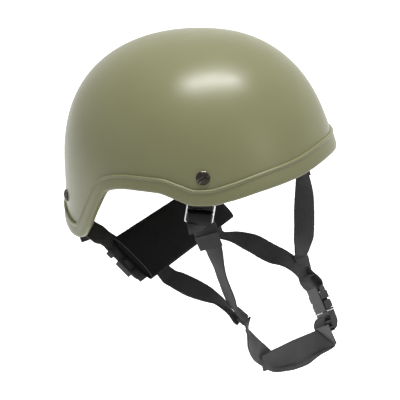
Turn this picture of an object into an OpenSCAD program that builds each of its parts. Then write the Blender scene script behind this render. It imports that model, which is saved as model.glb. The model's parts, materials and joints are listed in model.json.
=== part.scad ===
// Combat helmet with a four-point harness, level as it sits on a head.
// +Z is up, the front is towards -Y and the wearer's right is towards -X.
// The origin is the middle of the head opening at the widest section.

/* [Shell] */
// Crown height above the widest section, mm
crown_h = 138.5; // [120:0.5:160]
// Half the width at the widest section, mm
half_w = 125.5; // [110:0.5:140]
// Reach of the shell to the front, mm
front_l = 126; // [110:0.5:145]
// Reach of the shell to the rear, mm
rear_l = 144.5; // [125:0.5:160]
// Thickness of the shell wall, mm
wall = 4; // [3:0.1:6]
// Outward flare of the rim at the front, mm
flare_front = 2.5; // [0:0.1:6]
// Outward flare of the rim at the sides, mm
flare_side = 1.3; // [0:0.1:4]

/* [Rim trim] */
// Thickness of the trim, mm
trim_t = 1.9; // [1:0.1:3]
// Outer band of the trim at the front, mm
band_front = 14.6; // [8:0.1:20]
// Outer band of the trim at the ears and nape, mm
band_side = 11.5; // [8:0.1:16]
// Inner band of the trim, mm
band_in = 9; // [5:0.5:12]

/* [Screws] */
// Plan angle of the side screws from the ear towards the rear, degrees
side_screw_a = -26.3; // [-40:0.1:0]
// Height of the side screws, mm
side_screw_z = 38.8; // [25:0.1:50]
// Plan angle of the rear screws from the ear towards the rear, degrees
rear_screw_a = 55; // [45:0.5:70]
// Height of the rear screws, mm
rear_screw_z = -20; // [-30:0.5:0]
// Diameter of the screw heads, mm
head_d = 12.4; // [8:0.1:16]

/* [Harness] */
// Width of the webbing, mm
web_w = 22; // [18:0.5:26]
// Thickness of the webbing, mm
web_t = 1.8; // [1.2:0.1:2.5]
// Length of the nape sleeve across the head, mm
sleeve_l = 176; // [140:1:200]
// Depth of the nape sleeve, mm
sleeve_w = 54; // [40:1:70]
// Thickness of the nape sleeve, mm
sleeve_t = 9; // [6:0.5:14]
// Forward lean of the left hanger, degrees
left_lean = 14; // [0:1:20]

/* [Buckle] */
// Width of the buckle, mm
buckle_w = 27.5; // [26:0.5:34]
// Length of the socket half, mm
socket_l = 27; // [22:0.5:32]
// Thickness of the buckle, mm
buckle_t = 8.4; // [7:0.1:11]

/* [Padding] */
// Thickness of the foam pads, mm
pad_t = 19; // [10:1:25]
// Gap left between curved faces, mm
gap = 0.3; // [0.1:0.05:0.5]

/* [Hidden] */
$fn = 48;
columns = 90;
dome_rows = 15;
// Exponents of the dome profile: side, front, rear, and the common outer one
p_side = 2.42;
p_front = 2.0;
p_rear = 2.66;
p_out = 2.156;
// Rim height at plan angles counted from the ear towards the rear
rim_key = [
  [-90, 34.8], [-66, 30], [-50, 25.6], [-37, 19.4], [-29, 16], [-23, 15.8],
  [-15, 21], [-8, 24.8], [5, 23.2], [17, 15.6], [26, -11.5], [32, -33],
  [38, -46.5], [46, -49.5], [62, -46.5], [90, -42]
];

// Small vector helpers
function unit(v) = v / norm(v);
function clamp(x, a, b) = max(a, min(b, x));
function mirror_x(v) = [-v[0], v[1], v[2]];
function all_mirror(list) = [for (v = list) mirror_x(v)];

// Rim height: a smooth curve through the keys that never overshoots them
function key_step(i) = rim_key[i + 1][0] - rim_key[i][0];
function key_rise(i) = (rim_key[i + 1][1] - rim_key[i][1]) / key_step(i);
function key_slope(i) =
  i <= 0 || i >= len(rim_key) - 1 ? 0
  : key_rise(i - 1) * key_rise(i) <= 0 ? 0
  : 3 * (key_step(i - 1) + key_step(i))
    / ((2 * key_step(i) + key_step(i - 1)) / key_rise(i - 1)
       + (key_step(i) + 2 * key_step(i - 1)) / key_rise(i));
function key_of(a, i = 0) =
  i >= len(rim_key) - 2 || a <= rim_key[i + 1][0] ? i : key_of(a, i + 1);
function rim_z(angle) =
  let (a = clamp(angle, -90, 90), i = key_of(a), h = key_step(i), t = (a - rim_key[i][0]) / h)
  (2 * t^3 - 3 * t^2 + 1) * rim_key[i][1] + (t^3 - 2 * t^2 + t) * h * key_slope(i)
  + (3 * t^2 - 2 * t^3) * rim_key[i + 1][1] + (t^3 - t^2) * h * key_slope(i + 1);

// Plan angle from the ear, -90 at the front and 90 at the rear, for a polar angle
function fold(th) = atan2(sin(th), abs(cos(th)));
function flare_at(a, h) =
  (a < 0 ? flare_side + (flare_front - flare_side) * sin(a)^2 : flare_side * cos(a)^2)
  * clamp(1 - h / 45, 0, 1.3)^2;
function swell(s, p) = max(0, 1 - s^p)^(1 / p_out);
// Point of the shell's surface, moved outward by off, at a polar angle and a height
function skin(th, z, off) =
  let (a = fold(th), s = clamp(z / (crown_h + off), 0, 1), fl = flare_at(a, z - rim_z(a)),
       b = (half_w + off) * swell(s, p_side) + fl,
       e = (a < 0 ? (front_l + off) * swell(s, p_front) : (rear_l + off) * swell(s, p_rear)) + fl,
       r = 1 / sqrt((cos(th) / b)^2 + (sin(th) / e)^2))
  [r * cos(th), r * sin(th), z];
function skin_normal(th, z) =
  let (u = skin(th + 1, z, 0) - skin(th - 1, z, 0), v = skin(th, z + 1, 0) - skin(th, z - 1, 0),
       c = unit(cross(u, v)))
  c * [cos(th), sin(th), 0] > 0 ? c : -c;
// Point w mm from the rim at right angles to it, moved outward by off
function rim_point(th, w, off) =
  let (d = 1.5, p = skin(th + d, rim_z(fold(th + d)), 0), q = skin(th - d, rim_z(fold(th - d)), 0),
       run = norm([p[0] - q[0], p[1] - q[1]]), tilt = atan((p[2] - q[2]) / run),
       dth = w * sin(tilt) / run * 2 * d)
  skin(th - dth, rim_z(fold(th)) + w * cos(tilt), off);

// Solid between two end points, with columns of points around from one to the other
module two_pole(first, cols, last) {
  n = len(cols);
  m = len(cols[0]);
  pts = concat([first, last], [for (c = cols) for (p = c) p]);
  function at(i, j) = 2 + (i % n) * m + j;
  faces = concat(
    [for (i = [0:n - 1]) [0, at(i + 1, 0), at(i, 0)]],
    [for (i = [0:n - 1]) [1, at(i, m - 1), at(i + 1, m - 1)]],
    [for (i = [0:n - 1]) for (j = [0:m - 2]) [at(i, j), at(i + 1, j), at(i, j + 1)]],
    [for (i = [0:n - 1]) for (j = [0:m - 2]) [at(i + 1, j), at(i + 1, j + 1), at(i, j + 1)]]);
  polyhedron(pts, faces, convexity = 6);
}

// Closed ring of closed sections
module section_ring(secs) {
  n = len(secs);
  m = len(secs[0]);
  function at(i, j) = (i % n) * m + (j % m);
  faces = concat(
    [for (i = [0:n - 1]) for (j = [0:m - 1]) [at(i, j), at(i + 1, j), at(i, j + 1)]],
    [for (i = [0:n - 1]) for (j = [0:m - 1]) [at(i + 1, j), at(i + 1, j + 1), at(i, j + 1)]]);
  polyhedron([for (s = secs) for (p = s) p], faces, convexity = 6);
}

// Flat band along a path, with its crosswise direction given at every point
function path_dir(p, i) = unit(p[min(i + 1, len(p) - 1)] - p[max(i - 1, 0)]);
module band(p, side, w = web_w, t = web_t, strips = 1, along = []) {
  n = len(p);
  ring = 2 * strips + 2;
  pts = [for (i = [0:n - 1])
    let (d = len(along) > 0 ? along[i] : path_dir(p, i),
         s = unit(side[i] - d * (side[i] * d)) * w / 2,
         k = unit(cross(d, s)) * t / 2)
    each concat([for (c = [0:strips]) p[i] + s * (2 * c / strips - 1) - k],
                [for (c = [strips:-1:0]) p[i] + s * (2 * c / strips - 1) + k])];
  function at(i, j) = ring * i + j % ring;
  sheets = [for (i = [0:n - 2]) for (j = [0:ring - 1])
    each j <= strips
      ? [[at(i, j), at(i + 1, j), at(i, j + 1)], [at(i, j + 1), at(i + 1, j), at(i + 1, j + 1)]]
      : [[at(i, j), at(i + 1, j), at(i + 1, j + 1)], [at(i, j), at(i + 1, j + 1), at(i, j + 1)]]];
  ends = [for (c = [0:strips - 1]) let (d = 2 * strips - c)
    each [[at(0, c), at(0, c + 1), at(0, d)], [at(0, c), at(0, d), at(0, d + 1)],
          [at(n - 1, c), at(n - 1, d), at(n - 1, c + 1)],
          [at(n - 1, c), at(n - 1, d + 1), at(n - 1, d)]]];
  polyhedron(pts, concat(sheets, ends), convexity = 6);
}
function curve_at(a, b, c, d, t) =
  0.5 * (2 * b + (c - a) * t + (2 * a - 5 * b + 4 * c - d) * t^2 + (3 * b - a - 3 * c + d) * t^3);
function curve(p, n) = concat(
  [for (i = [0:len(p) - 2]) for (k = [0:n - 1])
    curve_at(p[max(i - 1, 0)], p[i], p[i + 1], p[min(i + 2, len(p) - 1)], k / n)],
  [p[len(p) - 1]]);
module soft_band(p, side, n = 4) {
  band(curve(p, n), curve(side, n));
}

// Frame whose Z axis is the shell's outward normal at a point of its outside
module on_shell(a, z, side) {
  th = side > 0 ? a : 180 - a;
  o = skin(th, z, 0);
  k = skin_normal(th, z);
  i = unit(cross([0, 0, 1], k));
  j = cross(k, i);
  multmatrix([[i[0], j[0], k[0], o[0]], [i[1], j[1], k[1], o[1]], [i[2], j[2], k[2], o[2]]])
    children();
}
module each_post() {
  for (side = [-1, 1]) {
    on_shell(side_screw_a, side_screw_z, side) children();
    on_shell(rear_screw_a, rear_screw_z, side) children();
  }
}
barrel_r = 3.5;

// Shell and trim
module shell() {
  cols = [for (i = [0:columns - 1])
    let (th = 360 * i / columns, zr = rim_z(fold(th)))
    concat(
      [for (j = [1:dome_rows]) let (s = cos(90 * j / dome_rows)) skin(th, zr + (crown_h - zr) * s, 0)],
      [for (j = [0:dome_rows - 1])
        let (s = sin(90 * j / dome_rows)) skin(th, zr + (crown_h - wall - zr) * s, -wall)])];
  color([0.43, 0.43, 0.29])
    difference() {
      two_pole([0, 0, crown_h], cols, [0, 0, crown_h - wall]);
      each_post() translate([0, 0, -12]) cylinder(r = barrel_r + gap, h = 24);
    }
}
module rim_trim() {
  secs = [for (i = [0:columns - 1])
    let (th = 360 * i / columns, a = fold(th),
         w = band_side + (band_front - band_side) * clamp((-a - 5) / 50, 0, 1),
         o = gap, f = gap + trim_t, b = -wall - gap)
    [rim_point(th, w, o), rim_point(th, w, f), rim_point(th, w / 2, f), rim_point(th, -trim_t, f),
     rim_point(th, -trim_t, b - trim_t), rim_point(th, band_in, b - trim_t),
     rim_point(th, band_in, b), rim_point(th, -gap / 2, b), rim_point(th, -gap / 2, o),
     rim_point(th, w / 2, o)]];
  color([0.40, 0.41, 0.27]) section_ring(secs);
}

// Slotted screws outside, post nuts inside
module shell_screws() {
  color([0.16, 0.14, 0.11])
    each_post()
      difference() {
        union() {
          translate([0, 0, gap]) cylinder(d = head_d, h = 1);
          translate([0, 0, gap + 1])
            intersection() {
              translate([0, 0, -7]) sphere(r = 9.2);
              cylinder(d = head_d - 1, h = 4);
            }
          translate([0, 0, -5]) cylinder(r = 2, h = 5 + gap);
        }
        rotate([0, 0, 40]) translate([-8, -0.8, gap + 1.4]) cube([16, 1.6, 4]);
      }
}
strap_in = wall + 2.1 + web_t;
module post_nuts() {
  color([0.16, 0.14, 0.11])
    each_post()
      difference() {
        union() {
          translate([0, 0, -strap_in - 1.3]) cylinder(d = 13, h = 1.3);
          translate([0, 0, -strap_in - 1.3]) cylinder(r = barrel_r, h = strap_in + 0.7);
        }
        translate([0, 0, -strap_in + 0.6]) cylinder(r = 2.05, h = strap_in);
      }
}

// Harness frame on each side: X outward, Y up, Z towards the rear along the shell
hang_a = side_screw_a;
side_post = skin(side_screw_a, side_screw_z, 0);
post_r = norm([side_post[0], side_post[1]]);
bar_in = 8.66;
bar_r = post_r - bar_in;
bar_z = 9.5;
bar_gap = 7.5;
loop_r = 2.4;
module hang_frame(side, lean) {
  mirror([side > 0 ? 1 : 0, 0, 0])
    multmatrix([[-cos(hang_a), 0, sin(hang_a), 0], [sin(hang_a), 0, cos(hang_a), 0], [0, 1, 0, 0]])
      translate([0, side_screw_z, 0]) rotate([lean, 0, 0]) translate([0, -side_screw_z, 0])
        children();
}
// The same frame as a function, for points and for directions on the right side
function lean_point(v, lean) =
  let (y = v[1] - side_screw_z)
  [v[0], side_screw_z + y * cos(lean) - v[2] * sin(lean), y * sin(lean) + v[2] * cos(lean)];
function hang_dir(v) =
  [-cos(hang_a) * v[0] + sin(hang_a) * v[2], sin(hang_a) * v[0] + cos(hang_a) * v[2], v[1]];
function hang_point(v, lean) = hang_dir(lean_point(v, lean));

// Thick line in the plane, for loops of webbing
function line_side(p, i, t) =
  let (d = unit(p[min(i + 1, len(p) - 1)] - p[max(i - 1, 0)])) p[i] + [-d[1], d[0]] * t / 2;
module thick_line(p, t) {
  n = len(p);
  polygon(concat([for (i = [0:n - 1]) line_side(p, i, t)],
                 [for (i = [n - 1:-1:0]) line_side(p, i, -t)]));
}
module hanger(side, lean) {
  arc = [for (k = [0:8]) [bar_r + loop_r * cos(22.5 * k), bar_z - loop_r * sin(22.5 * k)]];
  line = concat(
    [for (v = [[-0.2, 47], [2.2, 38.8], [3.4, 31.5], [3.2, 25], [2.4, 17]]) [bar_r + v[0], v[1]]], arc,
    [for (v = [[-2.4, 13], [-1.6, 19], [0.1, 25], [0.7, 29]]) [bar_r + v[0], v[1]]]);
  color([0.13, 0.13, 0.13])
    difference() {
      hang_frame(side, lean)
        translate([0, 0, -web_w / 2]) linear_extrude(web_w) thick_line(line, web_t);
      on_shell(side_screw_a, side_screw_z, side)
        translate([0, 0, -12]) cylinder(r = barrel_r + gap, h = 14);
    }
}
module glide(side, lean) {
  inner = web_w / 2 + 0.6;
  color([0.30, 0.30, 0.29])
    hang_frame(side, lean)
      for (part = [0:4]) {
        if (part < 3)
          translate([bar_r, bar_z - part * bar_gap, -inner - 1]) cylinder(r = 1.2, h = 2 * inner + 2);
        else
          translate([bar_r - 1.2, bar_z - 2 * bar_gap - 1.2, part == 3 ? -inner - 2.2 : inner])
            cube([2.4, 2 * bar_gap + 2.4, 2.2]);
      }
}

// Free runs are laid out for the sizes as given; a change of size carries their start along
bar_home = 114.2;
post_home = [78.8, 112.54, -20];
function carried(p, by, full) =
  [for (i = [0:len(p) - 1]) p[i] + clamp((len(p) - 1 - i) / (len(p) - full), 0, 1) * by];

// Front strap: its end wraps the middle bar and comes out over the lower bar
function strap_end() =
  let (mid = bar_z - bar_gap)
  concat(
    [[bar_r + loop_r + 0.2, -16.5, 0], [bar_r + loop_r + 0.5, -11, 0], [bar_r + loop_r, -5.5, 0]],
    [for (k = [0:6]) [bar_r + loop_r * cos(30 * k), mid + loop_r * sin(30 * k), 0]],
    [[bar_r - loop_r, -4, 0]]);
right_fall = carried([
  [-100.2, -50.2, -12], [-100.4, -52.5, -20], [-100.6, -55.1, -29], [-98.4, -59.2, -38.5],
  [-94.5, -63, -54.4], [-90.5, -64.9, -68.5], [-83.5, -68.4, -88.9], [-77.2, -71.2, -101.5]
], hang_dir([bar_r - bar_home, 0, 0]), 3);
left_fall = carried([
  [95, -60.8, -12], [96, -63, -20], [97.2, -65.5, -29], [99, -66.8, -45],
  [99.5, -67.5, -70], [95, -69.8, -91], [87.5, -72.9, -103]
], mirror_x(hang_dir([bar_r - bar_home, 0, 0])), 3);
right_turn = [
  [-0.443, 0.897, 0], [-0.443, 0.897, 0], [-0.443, 0.897, 0], [0.05, 0.99, 0],
  [0.5, 0.86, 0], [0.42, 0.9, 0], [0.6, 0.78, 0], [0.94, 0.25, -0.2]
];
left_turn = [
  [0.443, 0.897, 0], [0.443, 0.897, 0], [0.443, 0.897, 0], [0.15, 0.98, 0],
  [-0.1, 0.97, 0], [-0.5, 0.84, 0], [-0.86, 0.45, 0.1]
];
module front_strap(side) {
  lean = side > 0 ? left_lean : 0;
  ends = [for (v = strap_end()) hang_point(v, lean)];
  top = side > 0 ? all_mirror(ends) : ends;
  cross_dir = hang_dir(lean_point([0, side_screw_z, 1], lean) - [0, side_screw_z, 0]);
  across_dir = side > 0 ? mirror_x(cross_dir) : cross_dir;
  landing = [for (v = side > 0 ? [[0.3, -10.5], [0, -5], [0, 1], [0, 7]]
                                : [[2.8, -1.6], [1.3, 2.4], [0.4, 5.6], [0, 8.8]])
    on_joint(side, [0, lap + v[0], v[1]])];
  foot = side > 0 ? -left_across : right_across;
  fall = curve(concat(side > 0 ? left_fall : right_fall, landing), 4);
  twist = curve(concat(side > 0 ? left_turn : right_turn, [for (v = landing) foot]), 4);
  color([0.13, 0.13, 0.13])
    band(concat(top, fall), concat([for (v = top) across_dir], twist));
}

// Box in a frame given by a direction down the strap and one across it
module strap_frame(o, dir, side_dir) {
  z = unit(dir);
  x = unit(side_dir - z * (side_dir * z));
  y = cross(z, x);
  multmatrix([[x[0], y[0], z[0], o[0]], [x[1], y[1], z[1], o[1]], [x[2], y[2], z[2], o[2]]])
    children();
}
module box_at(mid, size) {
  translate(mid - size / 2) cube(size);
}
module sewn_end(side) {
  p = side > 0 ? left_fall : right_fall;
  w = side > 0 ? left_turn : right_turn;
  color([0.15, 0.15, 0.15])
    strap_frame(p[1] * 0.65 + p[2] * 0.35, p[2] - p[1], w[1])
      box_at([0, side * (web_t / 2 + gap + 1), 0], [web_w + 0.4, 1.6, 8]);
}

// Sleeve frame: X across the head, Y forward and down, Z out of the underside
sleeve_o = [0, 33, -69.5];
sleeve_tilt = 36.3;
sleeve_x = unit([1, 0, -0.0284]);
sleeve_y = unit(cross([0, sin(sleeve_tilt), -cos(sleeve_tilt)], sleeve_x));
sleeve_z = cross(sleeve_x, sleeve_y);
module sleeve_frame() {
  multmatrix([for (i = [0:2]) [sleeve_x[i], sleeve_y[i], sleeve_z[i], sleeve_o[i]]]) children();
}
under = sleeve_t / 2 + gap + 1.4 + gap + web_t / 2;
seat = sleeve_t / 2 + gap + web_t / 2;
strap_x = sleeve_l / 2 - 1.5;
function on_sleeve(x, s, n) = sleeve_o + x * sleeve_x + s * sleeve_y + n * sleeve_z;
module stadium(w, t) {
  flat_w = w - t;
  square([flat_w, t], center = true);
  for (e = [-1, 1]) translate([e * flat_w / 2, 0]) circle(d = t);
}
module nape_sleeve() {
  skin_t = 1.3;
  color([0.06, 0.06, 0.07])
    sleeve_frame()
      rotate([90, 0, 90]) linear_extrude(sleeve_l, center = true)
        difference() {
          stadium(sleeve_w, sleeve_t);
          stadium(sleeve_w - 2 * skin_t, sleeve_t - 2 * skin_t);
        }
}
module nape_insert() {
  t = sleeve_t - 2.6;
  color([0.10, 0.10, 0.11])
    sleeve_frame() box_at([0, 0, gap / 2], [sleeve_l - 18, sleeve_w - sleeve_t - 2, t - gap]);
}
module keeper(side) {
  color([0.15, 0.15, 0.15])
    sleeve_frame()
      difference() {
        box_at([side * strap_x, -17.5, under], [web_w + 4, 7, 2 * (under - sleeve_t / 2)]);
        box_at([side * strap_x, -17.5, under], [web_w + 2 * gap, 9, web_t + 2 * gap]);
      }
}
module adjuster(side) {
  color([0.11, 0.11, 0.11])
    sleeve_frame()
      translate([side * strap_x, 1.5, under])
        difference() {
          box_at([0, 0, 0.2], [web_w + 5.4, 18, web_t + 2 * gap + 3.2]);
          box_at([0, 0, 0], [web_w + 2 * gap, 20, web_t + 2 * gap]);
          box_at([0, 0, -2], [web_w - 3, 11, 4]);
          box_at([0, -4, 2.4], [web_w - 1, 3.4, 6]);
          box_at([0, 4, 2.4], [web_w - 1, 3.4, 6]);
        }
}

// Rear strap: from the rear screw, round the nape rim, its end sewn under the sleeve
rear_sag = [0, 0, 0, 0, 0, 1, 2.2, 3.6];
rear_post = skin(rear_screw_a, rear_screw_z, 0);
rear_shift = mirror_x(rear_post - post_home);
rear_free = carried([
  [-74.2, 107.6, -7], [-74.2, 107.6, -16], [-74.2, 107.6, -26], [-72.4, 105.2, -36],
  [-70.2, 101, -44.5], [-71.4, 93, -50.6], [-75, 84, -54.4], [-79.2, 73, -56.8]
], rear_shift, 5);
rear_side = [
  [0.733, 0.68, 0], [0.733, 0.68, 0], [0.733, 0.68, 0], [0.733, 0.68, 0],
  [0.78, 0.5, 0.2], [0.75, 0.05, 0.5], [0.6, -0.25, 0.72], [0.7, -0.2, 0.62]
];
module rear_strap(side) {
  free = [for (i = [0:len(rear_free) - 1])
    let (v = rear_free[i]) side < 0 ? v : [-v[0], v[1], v[2] - rear_sag[i]]];
  flat = [for (v = [-29, -22, -15, -5, 8, 14.5]) on_sleeve(side * strap_x, v, under)];
  sewn = [for (v = [19.5, 25]) on_sleeve(side * strap_x, v, seat)];
  wide = concat(side < 0 ? rear_side : all_mirror(rear_side), [for (i = [1:8]) -side * sleeve_x]);
  color([0.13, 0.13, 0.13])
    difference() {
      soft_band(concat(free, flat, sewn), wide, 3);
      on_shell(rear_screw_a, rear_screw_z, side)
        translate([0, 0, -12]) cylinder(r = barrel_r + gap, h = 14);
    }
}
// Free end of the rear webbing, hanging below the nape
module rear_tail(side) {
  lift = [0, side > 0 ? 0.75 : 0, 0];
  run = [for (v = [[-71, 101, -50.8], [-74, 98.6, -55], [-77, 95.4, -60], [-79, 92, -65]])
    v + rear_shift + lift];
  wide = [[0.46, -0.888, 0], [0.46, -0.888, 0], [0.46, -0.888, 0], [0.46, -0.888, 0]];
  color([0.14, 0.14, 0.14])
    mirror([side > 0 ? 1 : 0, 0, 0]) band(curve(run, 3), curve(wide, 3), 10, 1.4);
}

// Side strap: sewn under the sleeve's front edge, forward to the junction below the ear
right_run = [
  [-60.6, 8, -93.2], [-62.8, -3, -93.6], [-66, -14, -95.4], [-69.6, -30, -96.6],
  [-72.3, -44.5, -98.4], [-74.3, -56.5, -101.6]
];
left_run = [
  [56.6, 7.5, -97.2], [60, -5.5, -99.4], [64.5, -21.7, -103.4], [70, -42.6, -112.6],
  [74.6, -60, -119.8], [76.6, -69, -122.6]
];
right_wide = [
  [1, 0, 0.1], [0.8, -0.1, 0.5], [0.55, -0.15, 0.8], [0.5, -0.17, 0.84],
  [0.75, 0.05, 0.4], [0.95, 0.2, -0.1]
];
left_wide = [
  [1, 0, 0], [0.93, -0.1, 0.3], [0.8, -0.12, 0.55], [0.75, -0.15, 0.55],
  [0.85, -0.3, 0.15], [0.93, -0.36, 0]
];
module side_strap(side) {
  sewn = [for (v = [13, 20, 26]) on_sleeve(side > 0 ? 56 : -60, v, seat)];
  lap_end = side > 0
    ? [for (v = [[-1.5, 2], [-0.5, 5], [-0.2, 8]]) on_joint(1, [0, v[0] - lap, v[1]])]
    : [for (v = [[-1.4, -7.5], [-0.3, -3], [0, 2.5]]) on_joint(-1, [0, v[0] - lap, v[1]])];
  foot = side > 0 ? left_across : right_across;
  run = concat(sewn, side > 0 ? left_run : right_run, lap_end);
  wide = concat([[1, 0, 0], [1, 0, 0], [1, 0, 0]], side > 0 ? left_wide : right_wide,
                [foot, foot, foot]);
  color([0.13, 0.13, 0.13]) soft_band(run, wide, 3);
}

// Stitched junctions below the ears: X across, Y to the front, Z down the strap
right_joint = [-73.7, -72, -109.1];
left_joint = [77.5, -77.8, -122.9];
right_down = unit([0.07, -0.875, -0.48]);
left_down = unit([-0.2, -0.35, -0.91]);
right_across = [0.956, 0.196, -0.218];
left_across = [0.93, -0.36, -0.06];
joint_size = [21, 2.4, 18];
lap = joint_size[1] / 2 + gap + web_t / 2;
function on_joint(side, v) =
  let (o = side > 0 ? left_joint : right_joint, z = side > 0 ? left_down : right_down,
       w = side > 0 ? left_across : right_across, x = unit(w - z * (w * z)))
  o + v[0] * x + v[1] * cross(z, x) + v[2] * z;
module junction(side) {
  color([0.15, 0.15, 0.15])
    if (side > 0)
      strap_frame(left_joint, left_down, left_across) box_at([0, 0, 0], joint_size);
    else
      strap_frame(right_joint, right_down, right_across) box_at([0, 0, 0], joint_size);
}

// Buckle frame: X across the webbing, Y towards the front, Z the way the plug comes out
buckle_o = [72.5, -93.6, -143];
buckle_dir = [-0.2738, -0.5487, -0.7896];
buckle_across = [-0.4625, -0.6441, 0.6086];
buckle_z = unit(buckle_dir);
buckle_x = unit(buckle_across - buckle_z * (buckle_across * buckle_z));
buckle_y = cross(buckle_z, buckle_x);
function on_buckle(v) = buckle_o + v[0] * buckle_x + v[1] * buckle_y + v[2] * buckle_z;
slot_w = web_w + 1.6;
cavity_w = 23.6;
cavity_t = 5.6;
window_z = 14.2;
window_l = socket_l - 2 - window_z;
waist_x = 9;
cheek_x = (buckle_w + slot_w) / 4;
cheek_t = (buckle_w - slot_w) / 2;
// Side cheek drawn in the buckle's Y and Z, on one side
module cheek(way, t, outline) {
  translate([way * (cheek_x - (cheek_t - t) / 2), 0, 0])
    rotate([90, 0, 90]) linear_extrude(t, center = true) polygon(outline);
}
module buckle_socket() {
  color([0.16, 0.16, 0.16])
    strap_frame(buckle_o, buckle_dir, buckle_across)
      difference() {
        union() {
          box_at([0, 0, (socket_l + 6.4) / 2], [buckle_w, buckle_t, socket_l - 6.4]);
          box_at([0, 0, 4], [buckle_w, 3, 8]);
          for (way = [-1, 1])
            cheek(way, cheek_t, [[-1.5, 0], [1.5, 0], [3.1, 2.4], [3.1, 7], [-3.1, 7], [-3.1, 2.4]]);
        }
        box_at([0, 0, 4.2], [slot_w, 10, 4.4]);
        box_at([0, 0, socket_l - 4], [cavity_w, cavity_t, 28]);
        for (way = [-1, 1]) {
          translate([way > 0 ? waist_x : -waist_x - 8, -6, window_z]) cube([8, 12, window_l]);
          for (face = [-1, 1]) box_at([way * 11.2, face * buckle_t / 2, 10.2], [1.5, 2.6, 8]);
        }
      }
}
plug_z = socket_l + 0.4;
end_y = 2.4;
end_z = plug_z + 17;
plug_rail = [
  [-3.8, plug_z + 1], [3.8, plug_z + 1], [3.8, plug_z + 7], [5, plug_z + 13], [4.9, end_z],
  [3.6, end_z + 2], [1.6, end_z + 2.2], [0, end_z + 1], [-3.3, plug_z + 12.6], [-3.8, plug_z + 9]
];
module plug_bar(y, z) {
  translate([0, y, z]) rotate([0, 90, 0]) cylinder(r = 1.5, h = slot_w + 1, center = true);
}
module buckle_plug() {
  plug_w = buckle_w - 0.6;
  color([0.17, 0.17, 0.17])
    strap_frame(buckle_o, buckle_dir, buckle_across) {
      box_at([0, 0, plug_z + 1.9], [plug_w, 7.6, 3.8]);
      box_at([0, 0, plug_z - 7], [4.6, 3.4, 15]);
      box_at([0, -0.6, plug_z + 10.6], [slot_w + 1, 2.4, 3]);
      plug_bar(end_y, end_z);
      for (way = [-1, 1]) cheek(way, cheek_t - 0.6, plug_rail);
    }
}
arm_x = 8.4;
lug_top = window_z + 1.6;
lug_end = window_z + window_l - 0.4;
module buckle_arm(way) {
  color([0.18, 0.18, 0.18])
    strap_frame(buckle_o, buckle_dir, buckle_across)
      mirror([way > 0 ? 0 : 1, 0, 0]) {
        rotate([90, 0, 0]) linear_extrude(4.4, center = true)
          polygon([[arm_x - 1.3, plug_z - 0.3], [arm_x - 1.3, lug_top], [arm_x + 0.6, lug_top - 2.4],
                   [10.8, lug_top - 0.4], [11.9, lug_top], [11.9, lug_end], [arm_x + 1.3, lug_end + 0.4],
                   [arm_x + 1.3, plug_z - 0.3]]);
        rotate([90, 0, 0]) linear_extrude(7.2, center = true)
          polygon([[11.4, lug_top], [13, lug_top], [14.5, lug_top + 1.6], [14.5, lug_end - 0.8],
                   [13.8, lug_end], [11.4, lug_end]]);
      }
}
// Webbing loop round one of the buckle's two bars, open towards its legs
turn_r = 3.1;
function bar_turn(y, mid, way, tilt = 0) = [
  for (k = [0:8]) let (q = 22.5 * k + tilt)
    on_buckle([0, y + turn_r * cos(q), mid - way * turn_r * sin(q)])];
// Middle line of the loop, from the left junction to the socket's bar
loop_pull = 14;
loop_top = on_joint(1, [0, 0, joint_size[2] / 2 + gap]);
loop_bar = on_buckle([0, 0, 1]);
loop_down = [on_joint(1, [0, 0, 1]) - on_joint(1, [0, 0, 0]), on_buckle([0, 0, 1]) - on_buckle([0, 0, 0])];
function loop_at(t) =
  (1 + 2 * t) * (1 - t)^2 * loop_top + t * (1 - t)^2 * loop_pull * loop_down[0]
  + t^2 * (3 - 2 * t) * loop_bar + t^2 * (t - 1) * loop_pull * loop_down[1];
function loop_dir(t) = unit(loop_at(t + 0.01) - loop_at(t - 0.01));

// One leg of the loop, turning with the webbing from the junction to the bar
leg_steps = [0:0.06:0.84];
function leg_side(t) =
  let (k = min(t / 0.8, 1), m = k^2 * (3 - 2 * k)) unit((1 - m) * left_across - m * buckle_x);
function loop_leg(way) =
  [for (t = leg_steps)
    loop_at(t) + way * (1.35 + t * (turn_r - 1.35)) * unit(cross(loop_dir(t), leg_side(t)))];
module buckle_loop() {
  back = loop_leg(1);
  sides = [for (t = leg_steps) leg_side(t)];
  downs = [for (t = leg_steps) loop_dir(t)];
  n = len(back) - 1;
  run = concat(loop_leg(-1), bar_turn(0, 1, -1, 9.7), [for (i = [n:-1:0]) back[i]]);
  wide = concat(sides, [for (k = [0:8]) -buckle_x], [for (i = [n:-1:0]) sides[i]]);
  along = concat(downs, [for (k = [1:9]) path_dir(run, n + k)], [for (i = [n:-1:0]) -downs[i]]);
  color([0.13, 0.13, 0.13]) band(run, wide, strips = 4, along = along);
}
module chin_turn() {
  leg = [for (y = [1.8, -1.8]) on_buckle([0, end_y + y, end_z + 4.2])];
  run = concat([leg[0]], bar_turn(end_y, end_z, 1), [leg[1]]);
  color([0.13, 0.13, 0.13]) band(run, [for (v = run) buckle_x]);
}

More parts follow.
